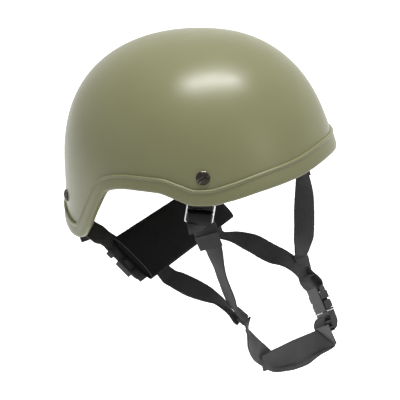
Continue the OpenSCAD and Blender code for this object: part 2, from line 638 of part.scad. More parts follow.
// Chin webbing: down from the right junction, under the chin, and doubled back
chin_run = [
  [-72.2, -87.2, -120], [-70.8, -84.6, -127.4], [-64, -83.3, -137],
  [-54, -85.1, -151], [-42.5, -86.4, -165.8], [-25, -89, -180.6], [-6, -94.4, -188.6],
  [15, -100.6, -192.6], [28.3, -106.5, -192.3], [39.7, -111.7, -189.1], [46, -116.4, -185.5],
  [50.8, -121.2, -183]
];
chin_wide = [
  [0.956, 0.196, -0.218], [0.93, 0.2, 0.2], [0.8, 0.1, 0.5],
  [0.76, -0.3, 0.55], [0.5, -0.3, 0.8], [0.25, -0.15, 0.95], [0.12, -0.1, 0.98],
  [0.1, 0, 0.99], [0.1, 0.15, 0.98], [0.14, 0.4, 0.9], [0.18, 0.5, 0.84],
  [0.2, 0.59, 0.78]
];
module chin_strap() {
  lead = [for (v = [gap, 2.2, 4.4]) on_joint(-1, [0, 0, joint_size[2] / 2 + v])];
  wide = concat([for (v = lead) right_across], chin_wide);
  color([0.13, 0.13, 0.13]) soft_band(concat(lead, chin_run), wide, 3);
}
return_run = [
  [-47.5, -88.3, -172], [-38, -92.2, -173], [-22, -96.4, -175.4], [5, -103.5, -181],
  [27.5, -111.7, -183.3], [40.4, -117.6, -183.4], [49.8, -123.2, -181.9]
];
return_wide = [
  [-0.35, 0, 0.9], [-0.1, -0.15, 0.95], [0.05, -0.2, 0.97], [0.1, -0.1, 0.99],
  [0.13, 0.2, 0.97], [0.18, 0.45, 0.86], [0.2, 0.59, 0.78]
];
module chin_return() {
  color([0.15, 0.15, 0.15]) soft_band(return_run, return_wide, 3);
}

// Foam pads and the hook patches behind them, curved like the shell
pad_back = -wall - 1.5;
function rounded(t) = [sign(cos(t)) * abs(cos(t))^0.62, sign(sin(t)) * abs(sin(t))^0.62];
module patch(a, z, half_a, half_z, rings, side = -1, n = 24) {
  mid = side > 0 ? a : 180 - a;
  cols = [for (i = [0:n - 1]) let (k = rounded(360 * i / n))
    [for (r = rings) skin(mid + half_a * k[0] * r[0], z + half_z * k[1] * r[0], r[1])]];
  two_pole(skin(mid, z, rings[0][1]), cols, skin(mid, z, rings[len(rings) - 1][1]));
}
pad_rings = [
  [0.4, pad_back], [0.75, pad_back], [0.96, pad_back], [1, pad_back - 0.3 * pad_t],
  [0.98, pad_back - 0.7 * pad_t], [0.88, pad_back - 0.93 * pad_t],
  [0.6, pad_back - pad_t], [0.3, pad_back - pad_t]
];
disc_rings = [
  [0.5, -wall - 0.5], [1, -wall - 0.5], [1, pad_back + gap], [0.5, pad_back + gap]
];
module pad(a, z, half_a, half_z, side = -1) {
  color([0.10, 0.11, 0.10]) patch(a, z, half_a, half_z, pad_rings, side);
}
// Cap-shaped patch round the crown, from an outer surface to an inner one
module cap(z_out, z_in, off_out, off_in) {
  n = 28;
  cols = [for (i = [0:n - 1]) let (th = 360 * i / n)
    concat(
      [for (j = [1:4]) skin(th, z_out + (crown_h + off_out - z_out) * cos(90 * j / 4), off_out)],
      [for (j = [0:3]) skin(th, z_in + (crown_h + off_in - z_in) * sin(90 * j / 4), off_in)])];
  two_pole([0, 0, crown_h + off_out], cols, [0, 0, crown_h + off_in]);
}
module crown_pad() {
  color([0.10, 0.11, 0.10]) cap(crown_h - 21.5, crown_h - 37.5, pad_back, pad_back - pad_t);
}
module hook_discs() {
  color([0.12, 0.12, 0.12]) {
    cap(crown_h - 9, crown_h - 9.9, -wall - 0.5, pad_back + gap);
    patch(-90, 76, 9, 17, disc_rings, -1, 20);
    patch(90, 40, 9, 18, disc_rings, -1, 20);
    for (side = [-1, 1]) {
      patch(-49, 75, 7, 14, disc_rings, side, 20);
      patch(12, 66, 9, 15, disc_rings, side, 20);
    }
  }
}

shell();
rim_trim();
shell_screws();
post_nuts();
hanger(-1, 0);  // right_hanger
hanger(1, left_lean);  // left_hanger
glide(-1, 0);  // right_glide
glide(1, left_lean);  // left_glide
front_strap(-1);  // right_front_strap
front_strap(1);  // left_front_strap
sewn_end(-1);  // right_sewn_end
sewn_end(1);  // left_sewn_end
rear_strap(-1);  // right_rear_strap
rear_strap(1);  // left_rear_strap
rear_tail(-1);  // right_rear_tail
rear_tail(1);  // left_rear_tail
adjuster(-1);  // right_adjuster
adjuster(1);  // left_adjuster
keeper(-1);  // right_keeper
keeper(1);  // left_keeper
nape_sleeve();
nape_insert();
side_strap(-1);  // right_side_strap
side_strap(1);  // left_side_strap
junction(-1);  // right_junction
junction(1);  // left_junction
buckle_loop();
buckle_socket();
buckle_plug();
buckle_arm(-1);  // buckle_rear_arm
buckle_arm(1);  // buckle_front_arm
chin_strap();
chin_return();
chin_turn();
crown_pad();
pad(-90, 76, 23, 26);  // front_pad
pad(90, 40, 24, 33);  // rear_pad
pad(-49, 75, 13, 24);  // right_fore_pad
pad(-49, 75, 13, 24, 1);  // left_fore_pad
pad(12, 66, 20, 26);  // right_aft_pad
pad(12, 66, 20, 26, 1);  // left_aft_pad
hook_discs();
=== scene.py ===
import json
from math import atan, atan2, copysign, cos, degrees, hypot, pi, radians, sin, sqrt

import bmesh
import bpy
import numpy as np
from mathutils import Matrix, Vector, noise

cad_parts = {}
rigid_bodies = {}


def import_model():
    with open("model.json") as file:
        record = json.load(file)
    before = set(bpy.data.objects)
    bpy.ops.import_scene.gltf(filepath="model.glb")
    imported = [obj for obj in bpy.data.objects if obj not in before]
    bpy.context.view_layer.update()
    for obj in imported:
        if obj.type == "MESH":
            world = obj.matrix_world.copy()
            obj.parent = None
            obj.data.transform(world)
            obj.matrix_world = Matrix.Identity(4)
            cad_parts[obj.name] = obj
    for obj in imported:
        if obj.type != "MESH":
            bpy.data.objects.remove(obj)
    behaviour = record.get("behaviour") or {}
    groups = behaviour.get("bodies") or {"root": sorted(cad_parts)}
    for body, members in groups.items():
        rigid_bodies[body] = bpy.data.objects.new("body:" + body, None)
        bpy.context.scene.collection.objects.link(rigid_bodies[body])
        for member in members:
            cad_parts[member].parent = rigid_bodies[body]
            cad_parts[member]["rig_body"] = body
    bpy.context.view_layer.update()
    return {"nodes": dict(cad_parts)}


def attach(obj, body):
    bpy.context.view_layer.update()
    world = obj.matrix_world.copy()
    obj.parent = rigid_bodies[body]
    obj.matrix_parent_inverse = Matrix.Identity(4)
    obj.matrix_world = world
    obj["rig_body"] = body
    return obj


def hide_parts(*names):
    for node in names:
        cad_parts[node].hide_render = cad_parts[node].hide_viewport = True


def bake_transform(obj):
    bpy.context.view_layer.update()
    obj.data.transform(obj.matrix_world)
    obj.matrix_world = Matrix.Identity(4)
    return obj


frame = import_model()
MM = 0.001
SIDES = ((-1, "right"), (1, "left"))

# Shell: reaches from the middle of the head opening, wall, and flare of the rim
CROWN, HALF_W, FRONT, REAR, WALL = 138.5, 125.5, 126.0, 144.5, 4.0
FLARE_F, FLARE_S, FLARE_FADE = 2.5, 1.3, 45
# Exponents of the dome: side, front, rear, and the common outer one
P_SIDE, P_FRONT, P_REAR, P_OUT = 2.42, 2.0, 2.66, 2.156
# Trim: clearance, thickness, and its bands at the front, at the sides and inside
GAP, TRIM_T, BAND_F, BAND_S, BAND_IN = 0.3, 1.9, 14.6, 11.5, 9.0
# Height of the rim at plan angles from the ear towards the rear
RIM = [
    (-90, 34.8), (-66, 30), (-50, 25.6), (-37, 19.4), (-29, 16), (-23, 15.8), (-15, 21), (-8, 24.8),
    (5, 23.2), (17, 15.6), (26, -11.5), (32, -33), (38, -46.5), (46, -49.5), (62, -46.5), (90, -42)]
# Screws: plan angle, height and side
POSTS = [(-26.3, 38.8, -1), (55, -20, -1), (-26.3, 38.8, 1), (55, -20, 1)]


def unit(v):
    v = np.asarray(v, float)
    return v / np.linalg.norm(v)


def arr(*v):
    return np.array(v, float)


def clamp(x, a, b):
    return max(a, min(b, x))


def signed_power(v, p):
    """Power that keeps the sign of its base."""
    return copysign(abs(v)**p, v)


def circle(n):
    """Cosine and sine of n equal turns."""
    return [(cos(2 * pi * q / n), sin(2 * pi * q / n)) for q in range(n)]


def rim_slopes():
    """Slope of the rim at each of its points, for a curve that doesn't overshoot."""
    step = [q[0] - p[0] for p, q in zip(RIM, RIM[1:])]
    rise = [(q[1] - p[1]) / (q[0] - p[0]) for p, q in zip(RIM, RIM[1:])]
    out = [0.0]
    for a, b, ra, rb in zip(step, step[1:], rise, rise[1:]):
        out.append(0.0 if ra * rb <= 0 else 3 * (a + b) / ((2 * b + a) / ra + (b + 2 * a) / rb))
    return out + [0.0]


SLOPES = rim_slopes()


def rim_z(angle):
    """Height of the rim at a folded plan angle."""
    a = clamp(angle, -90, 90)
    i = 0
    while i < len(RIM) - 2 and a > RIM[i + 1][0]:
        i += 1
    h = RIM[i + 1][0] - RIM[i][0]
    t = (a - RIM[i][0]) / h
    return ((2 * t**3 - 3 * t**2 + 1) * RIM[i][1] + (t**3 - 2 * t**2 + t) * h * SLOPES[i]
            + (3 * t**2 - 2 * t**3) * RIM[i + 1][1] + (t**3 - t**2) * h * SLOPES[i + 1])


def fold(th):
    """Plan angle from the ear towards the rear, the same on both sides."""
    r = radians(th)
    return degrees(atan2(sin(r), abs(cos(r))))


def skin(th, z, off):
    """Point of the shell's outside, moved outward by off, at a plan angle and a height."""
    a = fold(th)
    ra = radians(a)
    share = clamp(z / (CROWN + off), 0, 1)
    flare = (FLARE_S + (FLARE_F - FLARE_S) * sin(ra)**2) if a < 0 else FLARE_S * cos(ra)**2
    flare *= clamp(1 - (z - rim_z(a)) / FLARE_FADE, 0, 1.3)**2
    side, long = [max(0.0, 1 - share**p)**(1 / P_OUT) for p in (P_SIDE, P_FRONT if a < 0 else P_REAR)]
    b = (HALF_W + off) * side + flare
    e = ((FRONT if a < 0 else REAR) + off) * long + flare
    r = radians(th)
    d = hypot(cos(r) / b, sin(r) / e) if min(b, e) > 1e-6 else 1e9
    return arr(cos(r) / d, sin(r) / d, z)


def skin_normal(th, z):
    c = unit(np.cross(skin(th + 1, z, 0) - skin(th - 1, z, 0), skin(th, z + 1, 0) - skin(th, z - 1, 0)))
    r = radians(th)
    return c if c @ arr(cos(r), sin(r), 0) > 0 else -c


def rim_point(th, w, off, d=1.5):
    """Point w from the rim at right angles to it, moved outward by off."""
    p, q = [skin(a, rim_z(fold(a)), 0) for a in (th + d, th - d)]
    run = hypot(p[0] - q[0], p[1] - q[1])
    tilt = atan((p[2] - q[2]) / run)
    return skin(th - w * sin(tilt) / run * 2 * d, rim_z(fold(th)) + w * cos(tilt), off)


def post_frame(a, z, side):
    """Origin and axes of a screw post; the third axis points out of the shell."""
    th = a if side > 0 else 180 - a
    k = skin_normal(th, z)
    i = unit(np.cross([0, 0, 1], k))
    return skin(th, z, 0), i, np.cross(k, i), k


# Mesh helpers
def linked(name, mesh):
    ob = bpy.data.objects.new(name, mesh)
    bpy.context.scene.collection.objects.link(ob)
    return ob


def evaluated_mesh(ob):
    """The object's mesh with its modifiers applied."""
    return bpy.data.meshes.new_from_object(ob.evaluated_get(bpy.context.evaluated_depsgraph_get()))


def finish_piece(ob, body, mat, nodes=()):
    ob.data.materials.clear()
    ob.data.materials.append(MAT[mat])
    if body:
        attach(ob, body)
    if nodes:
        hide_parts(*nodes)


def mesh_object(name, verts, faces, body, mat, nodes=(), weave=None, sharp=None):
    """New piece that rides on a body and stands for CAD nodes; weave holds its place on the cloth."""
    me = bpy.data.meshes.new(name)
    me.from_pydata([tuple(np.asarray(v, float) * MM) for v in verts], [], [tuple(f) for f in faces])
    me.validate()
    if weave is not None:
        layer = me.attributes.new("weave", "FLOAT_VECTOR", "POINT")
        layer.data.foreach_set("vector", np.asarray(weave, np.float32).ravel())
    shade_smooth(me)
    me.update()
    ob = linked(name, me)
    if sharp is not None:
        me.set_sharp_from_angle(angle=radians(sharp))
    finish_piece(ob, body, mat, nodes)
    return ob


def orient(ob):
    """Makes every face look outward."""
    bm = bmesh.new()
    bm.from_mesh(ob.data)
    bmesh.ops.recalc_face_normals(bm, faces=bm.faces)
    bm.to_mesh(ob.data)
    bm.free()


def ring_faces(n, m, closed=False):
    """Faces over n closed rings of m points; closed joins the last ring to the first."""
    out = []
    for i in range(n if closed else n - 1):
        for j in range(m):
            a, b = i * m + j, i * m + (j + 1) % m
            c, d = ((i + 1) % n) * m + (j + 1) % m, ((i + 1) % n) * m + j
            out.append((a, d, c, b))
    return out


def capped_faces(n, m):
    """The same with one face over each end."""
    last = (n - 1) * m
    return ring_faces(n, m) + [tuple(range(m)), tuple(reversed(range(last, last + m)))]


def tipped_faces(n, m):
    """The same with a fan at each end, to two tips that follow the rings."""
    last = (n - 1) * m
    out = ring_faces(n, m)
    for i in range(m):
        j = (i + 1) % m
        out += [(n * m, i, j), (n * m + 1, last + j, last + i)]
    return out


def shade_smooth(me):
    me.polygons.foreach_set("use_smooth", [True] * len(me.polygons))


def moved(faces, base):
    return [tuple(base + v for v in f) for f in faces]


def spline(points, n=8):
    """Smooth curve through the points, with n steps between two of them."""
    p = np.asarray(points, float)
    last = len(p) - 1
    out = []
    for i in range(last):
        a, b, c, d = p[max(i - 1, 0)], p[i], p[i + 1], p[min(i + 2, last)]
        for k in range(n):
            t = k / n
            out.append(0.5 * (2 * b + (c - a) * t + (2 * a - 5 * b + 4 * c - d) * t**2
                              + (3 * b - a - 3 * c + d) * t**3))
    return np.array(out + [p[last]])


def lengths(path):
    """Length along a path at each of its points."""
    return np.concatenate([[0], np.cumsum(np.linalg.norm(np.diff(path, axis=0), axis=1))])


def sample(v, at, rows):
    """Value at length v, or at several lengths, of rows that are given at the lengths in at."""
    return np.stack([np.interp(v, at, rows[:, k]) for k in range(3)], -1)


def tube(name, points, r, body, mat, closed=False, m=8, nodes=()):
    """Thin round bead along a line."""
    p = np.asarray(points, float)
    n = len(p)
    up = (0.3, 0.2, 0.9)
    verts = []
    for i in range(n):
        a, b = (p[i - 1], p[(i + 1) % n]) if closed else (p[max(i - 1, 0)], p[min(i + 1, n - 1)])
        d = unit(b - a)
        up = unit(np.cross(d, up)) if i == 0 else unit(up - d * (up @ d))
        v = np.cross(d, up)
        verts += [p[i] + r * (up * c + v * s) for c, s in circle(m)]
    faces = ring_faces(n, m, True) if closed else capped_faces(n, m)
    return mesh_object(name, verts, [f[::-1] for f in faces], body, mat, nodes)


def soften(node, name, width, mat, segments=2):
    """Stand-in for a hard CAD node, made from its own mesh with rounded edges."""
    src = frame["nodes"][node]
    bm = bmesh.new()
    bm.from_mesh(src.data)
    bmesh.ops.remove_doubles(bm, verts=bm.verts, dist=2e-6)
    bmesh.ops.dissolve_limit(bm, angle_limit=radians(0.6), verts=bm.verts, edges=bm.edges)
    bm.normal_update()
    sharp = [e for e in bm.edges if len(e.link_faces) == 2 and e.calc_face_angle(0) > radians(28)]
    bmesh.ops.bevel(bm, geom=sharp, offset=width * MM, offset_type="OFFSET", segments=segments,
                    profile=0.5, clamp_overlap=True, affect="EDGES")
    me = bpy.data.meshes.new(name + "_mesh")
    bm.to_mesh(me)
    bm.free()
    shade_smooth(me)
    me.set_sharp_from_angle(angle=radians(38))
    finish_piece(linked(name, me), src["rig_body"], mat, [node])


# Webbing: width and thickness, pitch of the toothed edge, and the depth of that edge
WEB_W, WEB_T = 22.0, 1.8
TOOTH_PITCH, TOOTH_BAND = 2.1, 2.2
# Length over which a slanted fold turns square
SLANT_RUN = 24


def band_profile(w, t):
    """Cross section of a woven band: flat faces and round selvages."""
    flat = w / 2 - t / 2
    top = [(x, t / 2) for x in np.linspace(-flat, flat, 11)]
    right = [(flat + t / 2 * cos(a), t / 2 * sin(a)) for a in (1.05, 0.52, 0, -0.52, -1.05)]
    return top + right + [(-x, -y) for x, y in top + right]


def webbing(name, points, sides, body, nodes=(), w=WEB_W, t=WEB_T, step=0.9, mat="webbing",
            slot="webbing", tooth=0.16, wave=0.12, seed=0.0, slant=0.0, shaded_stretch=None):
    """Woven band along points, turned by its crosswise directions in sides.

    The rings lie close enough together for the toothed edges. Wave is the unevenness of the faces, slant
    skews the start of the band, and shaded_stretch gets the glossier webbing whose near-black is painted
    shade.
    """
    path, side = spline(points), spline(sides)
    along = lengths(path)
    at = np.linspace(0, along[-1], max(6, int(round(along[-1] / step))) + 1)
    path, side = sample(at, along, path), sample(at, along, side)
    last = len(at) - 1
    down = np.array([unit(path[min(i + 1, last)] - path[max(i - 1, 0)]) for i in range(last + 1)])
    cross = np.array([unit(s - d * (s @ d)) for s, d in zip(side, down)])
    profile = band_profile(w, t)
    verts, weave = [], []
    for i in range(last + 1):
        ease = min(1.0, i / 3.0, (last - i) / 3.0)
        bite = tooth * sin(2 * pi * at[i] / TOOTH_PITCH)
        for x, y in profile:
            edge = clamp((abs(x) - w / 2 + TOOTH_BAND) / TOOTH_BAND, 0, 1)
            lift = wave * ease * noise.noise(Vector((at[i] * 0.09 + seed, x * 0.11, seed * 3.1)))
            o, d, s, v = path[i], down[i], cross[i], at[i]
            if slant and v < SLANT_RUN:
                v += slant * (0.5 - x / w) * (1 - v / SLANT_RUN)
                o, d, s = sample(v, at, path), unit(sample(v, at, down)), unit(sample(v, at, cross))
            verts.append(o + s * (x + copysign(bite * edge, x)) + np.cross(d, s) * (y + lift))
            weave.append((x, v, 0))
    m = len(profile)
    ob = mesh_object(name, verts, capped_faces(last + 1, m), body, mat, nodes, weave, 65)
    # The stretch round the glide gets the near-black webbing: painted shade.
    if shaded_stretch:
        ob.data.materials.append(MAT["webbing_shaded_gloss"])
        for k, f in enumerate(ob.data.polygons):
            if shaded_stretch[0] <= at[min(k // m, last)] <= shaded_stretch[1]:
                f.material_index = 1
    return ob


def bending_webbing(name, points, sides, node, bodies, start, end, **more):
    """Webbing for one node, on no body; bodies, start and end are not used."""
    ob = webbing(name, points, sides, None, [node], **more)
    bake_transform(ob)


# Materials
class Nodes:
    """Small helper for building a material's node tree."""

    def __init__(self, name):
        self.mat = bpy.data.materials.new(name)
        self.mat.use_nodes = True
        self.tree = self.mat.node_tree
        self.bsdf = next(n for n in self.tree.nodes if n.type == "BSDF_PRINCIPLED")

    def put(self, socket, value):
        if isinstance(value, bpy.types.NodeSocket):
            self.tree.links.new(value, socket)
        elif value is not None:
            socket.default_value = value

    def put_all(self, node, inputs):
        for key, value in inputs.items():
            self.put(node.inputs[key.replace("_", " ")], value)

    def new(self, kind, output, **inputs):
        """Output of a new node with its inputs set."""
        node = self.tree.nodes.new("ShaderNode" + kind)
        self.put_all(node, inputs)
        return node.outputs[output]

    def math(self, op, a, b=0.0):
        node = self.tree.nodes.new("ShaderNodeMath")
        node.operation = op
        self.put(node.inputs[0], a)
        self.put(node.inputs[1], b)
        return node.outputs[0]

    def texture(self, kind, output, **inputs):
        """Texture on object coordinates."""
        return self.new(kind, output, Vector=self.new("TexCoord", "Object"), **inputs)

    def noise(self, scale, detail=4.0, rough=0.55):
        return self.texture("TexNoise", "Fac", Scale=scale, Detail=detail, Roughness=rough)

    def ramp(self, fac, start, end):
        """Colour ramp between two stops of (position, colour)."""
        node = self.tree.nodes.new("ShaderNodeValToRGB")
        for stop, (place, col) in zip(node.color_ramp.elements, (start, end)):
            stop.position = place
            stop.color = (*col, 1)
        self.put(node.inputs["Fac"], fac)
        return node.outputs["Color"]

    def mix(self, fac, a, b):
        node = self.tree.nodes.new("ShaderNodeMix")
        node.data_type = "RGBA"
        self.put(node.inputs[0], fac)
        for socket, v in ((node.inputs[6], a), (node.inputs[7], b)):
            self.put(socket, v if isinstance(v, bpy.types.NodeSocket) else (*v, 1))
        return node.outputs[2]

    def bump(self, height, strength, distance, normal=None):
        return self.new("Bump", "Normal", Strength=strength, Distance=distance, Height=height, Normal=normal)

    def range(self, value, lo, hi):
        return self.new("MapRange", "Result", Value=value, To_Min=lo, To_Max=hi)

    def set(self, **values):
        self.put_all(self.bsdf, values)
        return self.mat


def scaled(col, k):
    return tuple(c * k for c in col)


def paint_mat(name, col, rough, grit=0.35):
    """Paint or rubber with a fine grain and a slow drift of its shade."""
    n = Nodes(name)
    lo, hi = scaled(col, 0.95), scaled(col, 1.05)
    fine = n.noise(420, 2, 0.5)
    colour = n.ramp(n.noise(9, 3, 0.5), (0.35, lo), (0.65, hi))
    colour = n.mix(0.10, colour, n.ramp(fine, (0.3, lo), (0.7, hi)))
    normal = n.bump(n.noise(1300, 2, 0.6), grit * 0.6, 0.00005, n.bump(fine, grit, 0.00010))
    return n.set(Base_Color=colour, Roughness=n.range(n.noise(60, 3), rough - 0.05, rough + 0.06),
                 Normal=normal, Specular_IOR_Level=0.46)


def webbing_mat(name, col, rough=0.82, sheen=0.08, spec=0.3):
    """Ribbed weave in lengthwise columns, from the place on the band."""
    n = Nodes(name)
    column, rib_pitch, skew = 1.55, 1.35, 2.2
    place = n.tree.nodes.new("ShaderNodeAttribute")
    place.attribute_name = "weave"
    x, y = [n.new("SeparateXYZ", k, Vector=place.outputs["Vector"]) for k in (0, 1)]
    phase = n.math("MULTIPLY", n.math("FLOOR", n.math("DIVIDE", x, column)), skew)
    rib = n.math("SINE", n.math("ADD", n.math("MULTIPLY", y, 2 * pi / rib_pitch), phase))
    cord = n.math("ABSOLUTE", n.math("SINE", n.math("MULTIPLY", x, pi / column)))
    high = n.math("MULTIPLY", n.math("ADD", n.math("MULTIPLY", rib, 0.5), 0.5), cord)
    # Raised cords lighter and grooves darker: painted highlight and painted shade on the weave
    colour = n.ramp(high, (0.05, scaled(col, 0.62)), (0.85, scaled(col, 1.34)))
    broad = n.ramp(n.noise(38, 3, 0.5), (0.3, scaled(col, 0.7)), (0.7, scaled(col, 1.3)))
    normal = n.bump(n.noise(2600, 3, 0.7), 0.25, 0.00012, n.bump(high, 0.55, 0.00030))
    return n.set(Base_Color=n.mix(0.35, colour, broad), Roughness=rough, Normal=normal,
                 Sheen_Weight=sheen, Sheen_Roughness=0.5, Specular_IOR_Level=spec)


def plush_mat(name, col, sheen=0.35, scale=900.0, bump=0.6):
    """Short pile with tufts and broad brushed patches."""
    n = Nodes(name)
    tuft, broad = n.noise(scale, 5, 0.7), n.noise(26, 4, 0.6)
    lo, hi = scaled(col, 0.45), scaled(col, 1.8)
    colour = n.mix(0.4, n.ramp(tuft, (0.3, lo), (0.72, hi)), n.ramp(broad, (0.35, lo), (0.7, hi)))
    normal = n.bump(broad, 0.3, 0.0015, n.bump(tuft, bump, 0.0006))
    return n.set(Base_Color=colour, Roughness=0.95, Normal=normal, Sheen_Weight=sheen,
                 Sheen_Roughness=0.45, Specular_IOR_Level=0.15)


def cloth_mat(name, col, pitch=700.0):
    """Knitted or foamed surface of small cells."""
    n = Nodes(name)
    grain = n.texture("TexVoronoi", "Distance", Scale=pitch)
    lo, hi = scaled(col, 0.55), scaled(col, 1.4)
    broad = n.ramp(n.noise(30, 3), (0.35, lo), (0.65, hi))
    return n.set(Base_Color=n.mix(0.35, n.ramp(grain, (0.1, lo), (0.6, hi)), broad), Roughness=0.9,
                 Normal=n.bump(grain, 0.5, 0.0004), Sheen_Weight=0.3, Sheen_Roughness=0.5,
                 Specular_IOR_Level=0.2)


def plastic_mat(name, col, rough=0.42):
    """Moulded plastic with a fine satin grain."""
    n = Nodes(name)
    broad = n.noise(80, 3, 0.5)
    colour = n.ramp(broad, (0.35, scaled(col, 0.75)), (0.65, scaled(col, 1.25)))
    return n.set(Base_Color=colour, Roughness=n.range(broad, rough - 0.06, rough + 0.08),
                 Normal=n.bump(n.noise(1500, 2, 0.5), 0.25, 0.00006), Specular_IOR_Level=0.3)


def metal_mat(name, col, rough, metallic=1.0, edge_highlight=None):
    """Grained metal; edge_highlight is a lighter colour painted along its edges as a highlight."""
    n = Nodes(name)
    grain, broad = n.noise(700, 4, 0.6), n.noise(120, 4, 0.6)
    colour = n.ramp(grain, (0.3, scaled(col, 0.8)), (0.7, scaled(col, 1.2)))
    # Lighter colour on the sharp edges: a painted highlight
    if edge_highlight:
        ridge = n.new("NewGeometry", "Pointiness")
        ridge = n.math("ADD", ridge, n.math("MULTIPLY", n.math("SUBTRACT", broad, 0.5), 0.08))
        colour = n.mix(n.ramp(ridge, (0.53, (0, 0, 0)), (0.60, (1, 1, 1))), colour, edge_highlight)
    return n.set(Base_Color=colour, Metallic=metallic, Roughness=n.range(broad, rough - 0.08, rough + 0.12),
                 Normal=n.bump(grain, 0.12, 0.00005))


OLIVE = (0.150, 0.150, 0.069)
MAT = {
    "shell": paint_mat("shell_paint", OLIVE, 0.33),
    "inside": paint_mat("shell_inside_paint", scaled(OLIVE, 0.8), 0.62),
    "trim": paint_mat("trim_rubber", scaled(OLIVE, 0.95), 0.38, grit=0.2),
    # Screws: dark bronze with a painted highlight along the head's edges
    "screw": metal_mat("screw_bronze", (0.022, 0.019, 0.015), 0.22, 0.8, edge_highlight=(0.30, 0.26, 0.19)),
    "steel": metal_mat("bar_steel", (0.55, 0.55, 0.55), 0.30),
    "plastic": plastic_mat("buckle_plastic", (0.030, 0.030, 0.031)),
    "webbing": webbing_mat("webbing", (0.044, 0.044, 0.045)),
    # Near-black, glossier copy of the webbing for hangers and glide wraps: its dark colour is painted shade
    # under the rim
    "webbing_shaded_gloss": webbing_mat("webbing_gloss_painted_shade", (0.0035, 0.0035, 0.004), 0.36, 0.0, 0.14),
    # Lighter copy of the webbing for the rear straps: painted light against the shell's shadow on them
    "webbing_rear_lightened": webbing_mat("webbing_rear_painted_light", (0.072, 0.072, 0.074)),
    # Lighter copy of the webbing for the folded flap: a painted highlight
    "webbing_highlight": webbing_mat("webbing_fold_highlight", (0.12, 0.12, 0.122), 0.7),
    "thread": plush_mat("stitch_thread", (0.055, 0.055, 0.056), 0.2, 3000, 0.3),
    "sleeve": plush_mat("sleeve_plush", (0.0060, 0.0060, 0.0063), 0.07),
    "lining": cloth_mat("sleeve_lining", (0.020, 0.020, 0.021)),
    # Lighter webbing for half of each sleeve lip: a painted highlight
    "lip_highlight": webbing_mat("sleeve_hem", (0.050, 0.050, 0.051)),
    "foam": cloth_mat("foam", (0.030, 0.030, 0.031), 1200),
    "pad": cloth_mat("pad_cloth", (0.040, 0.043, 0.036)),
    "piping": cloth_mat("pad_piping", (0.026, 0.028, 0.024), 1200),
    "hook": plush_mat("hook_tape", (0.020, 0.020, 0.020), 0.1, 1800),
}


# Shell, trim and screws
def build_shell():
    """Rings down the outside, over the rim and up the inside, closer together near the crown."""
    around, rows_out, rows_in = 240, 44, 28
    rings = [(0.0, rows_out, j) for j in range(1, rows_out + 1)]
    rings += [(-WALL, rows_in, j) for j in range(rows_in, 0, -1)]
    verts = []
    for off, rows, j in rings:
        share = sin(pi / 2 * (1 - j / rows))
        for i in range(around):
            th = 360 * i / around
            low = rim_z(fold(th))
            verts.append(skin(th, low + (CROWN + off - low) * share, off))
    verts += [arr(0, 0, CROWN), arr(0, 0, CROWN - WALL)]
    ob = mesh_object("shell_surface", verts, tipped_faces(len(rings), around), "helmet", "shell",
                     ["shell"])
    ob.data.materials.append(MAT["inside"])
    for p in ob.data.polygons:
        if min(p.vertices) >= rows_out * around:
            p.material_index = 1


def trim_profile(w):
    """Section of the folded strip as (distance from the rim, offset), with a bead along its top edge."""
    f, b = GAP + TRIM_T, -WALL - GAP
    bead = [(w - 0.1, GAP - 0.25), (w + 0.15, 0.7), (w + 0.3, 1.5), (w + 0.15, f - 0.1),
            (w - 0.25, f + 0.35), (w - 0.8, f + 0.5), (w - 1.35, f + 0.3), (w - 1.8, f - 0.15)]
    face = [(w - 2.4, f - 0.5), (w - 3.6, f - 0.5), (w * 0.5, f - 0.15), (2.2, f)]
    edge = [(0.2, f - 0.1), (-0.9, f - 0.6), (-1.6, f - 1.6), (-TRIM_T, f - 3.0), (-TRIM_T, b + 1.6),
            (-1.6, b - 0.6), (-0.9, b - 1.4), (0.2, b - TRIM_T + 0.1), (2.2, b - TRIM_T)]
    inner = [(BAND_IN * 0.6, b - TRIM_T + 0.1), (BAND_IN - 0.9, b - TRIM_T + 0.1),
             (BAND_IN - 0.2, b - 1.4), (BAND_IN, b - 0.6), (BAND_IN - 0.1, b)]
    seat = [(BAND_IN * 0.5, b), (-0.15, b), (-0.15, GAP), (w * 0.5, GAP)]
    return bead + face + edge + inner + seat


def build_trim():
    n = 320
    verts = []
    for i in range(n):
        th = 360 * i / n
        w = BAND_S + (BAND_F - BAND_S) * clamp((-fold(th) - 5) / 50, 0, 1)
        profile = trim_profile(w)
        verts += [rim_point(th, ww, off) for ww, off in profile]
    faces = [f[::-1] for f in ring_faces(n, len(profile), True)]
    mesh_object("trim_strip", verts, faces, "helmet", "trim", ["rim_trim"], sharp=60)


# Screw head: section as (radius, height), its two tips, and the slot's turn, place and size
HEAD = [
    (1.6, 2.9), (3.2, 2.55), (4.4, 2.05), (5.3, 1.5), (5.9, 1), (6.2, 0.7), (6.2, 0.35), (5.9, 0),
    (2, 0), (2, -5)]
HEAD_TIPS = [(0, 0, 3.0), (0, 0, -5.0)]
SLOT_TURN, SLOT_Z, SLOT_SIZE = 40, 3.3, (15, 1.9, 4.4, 1)


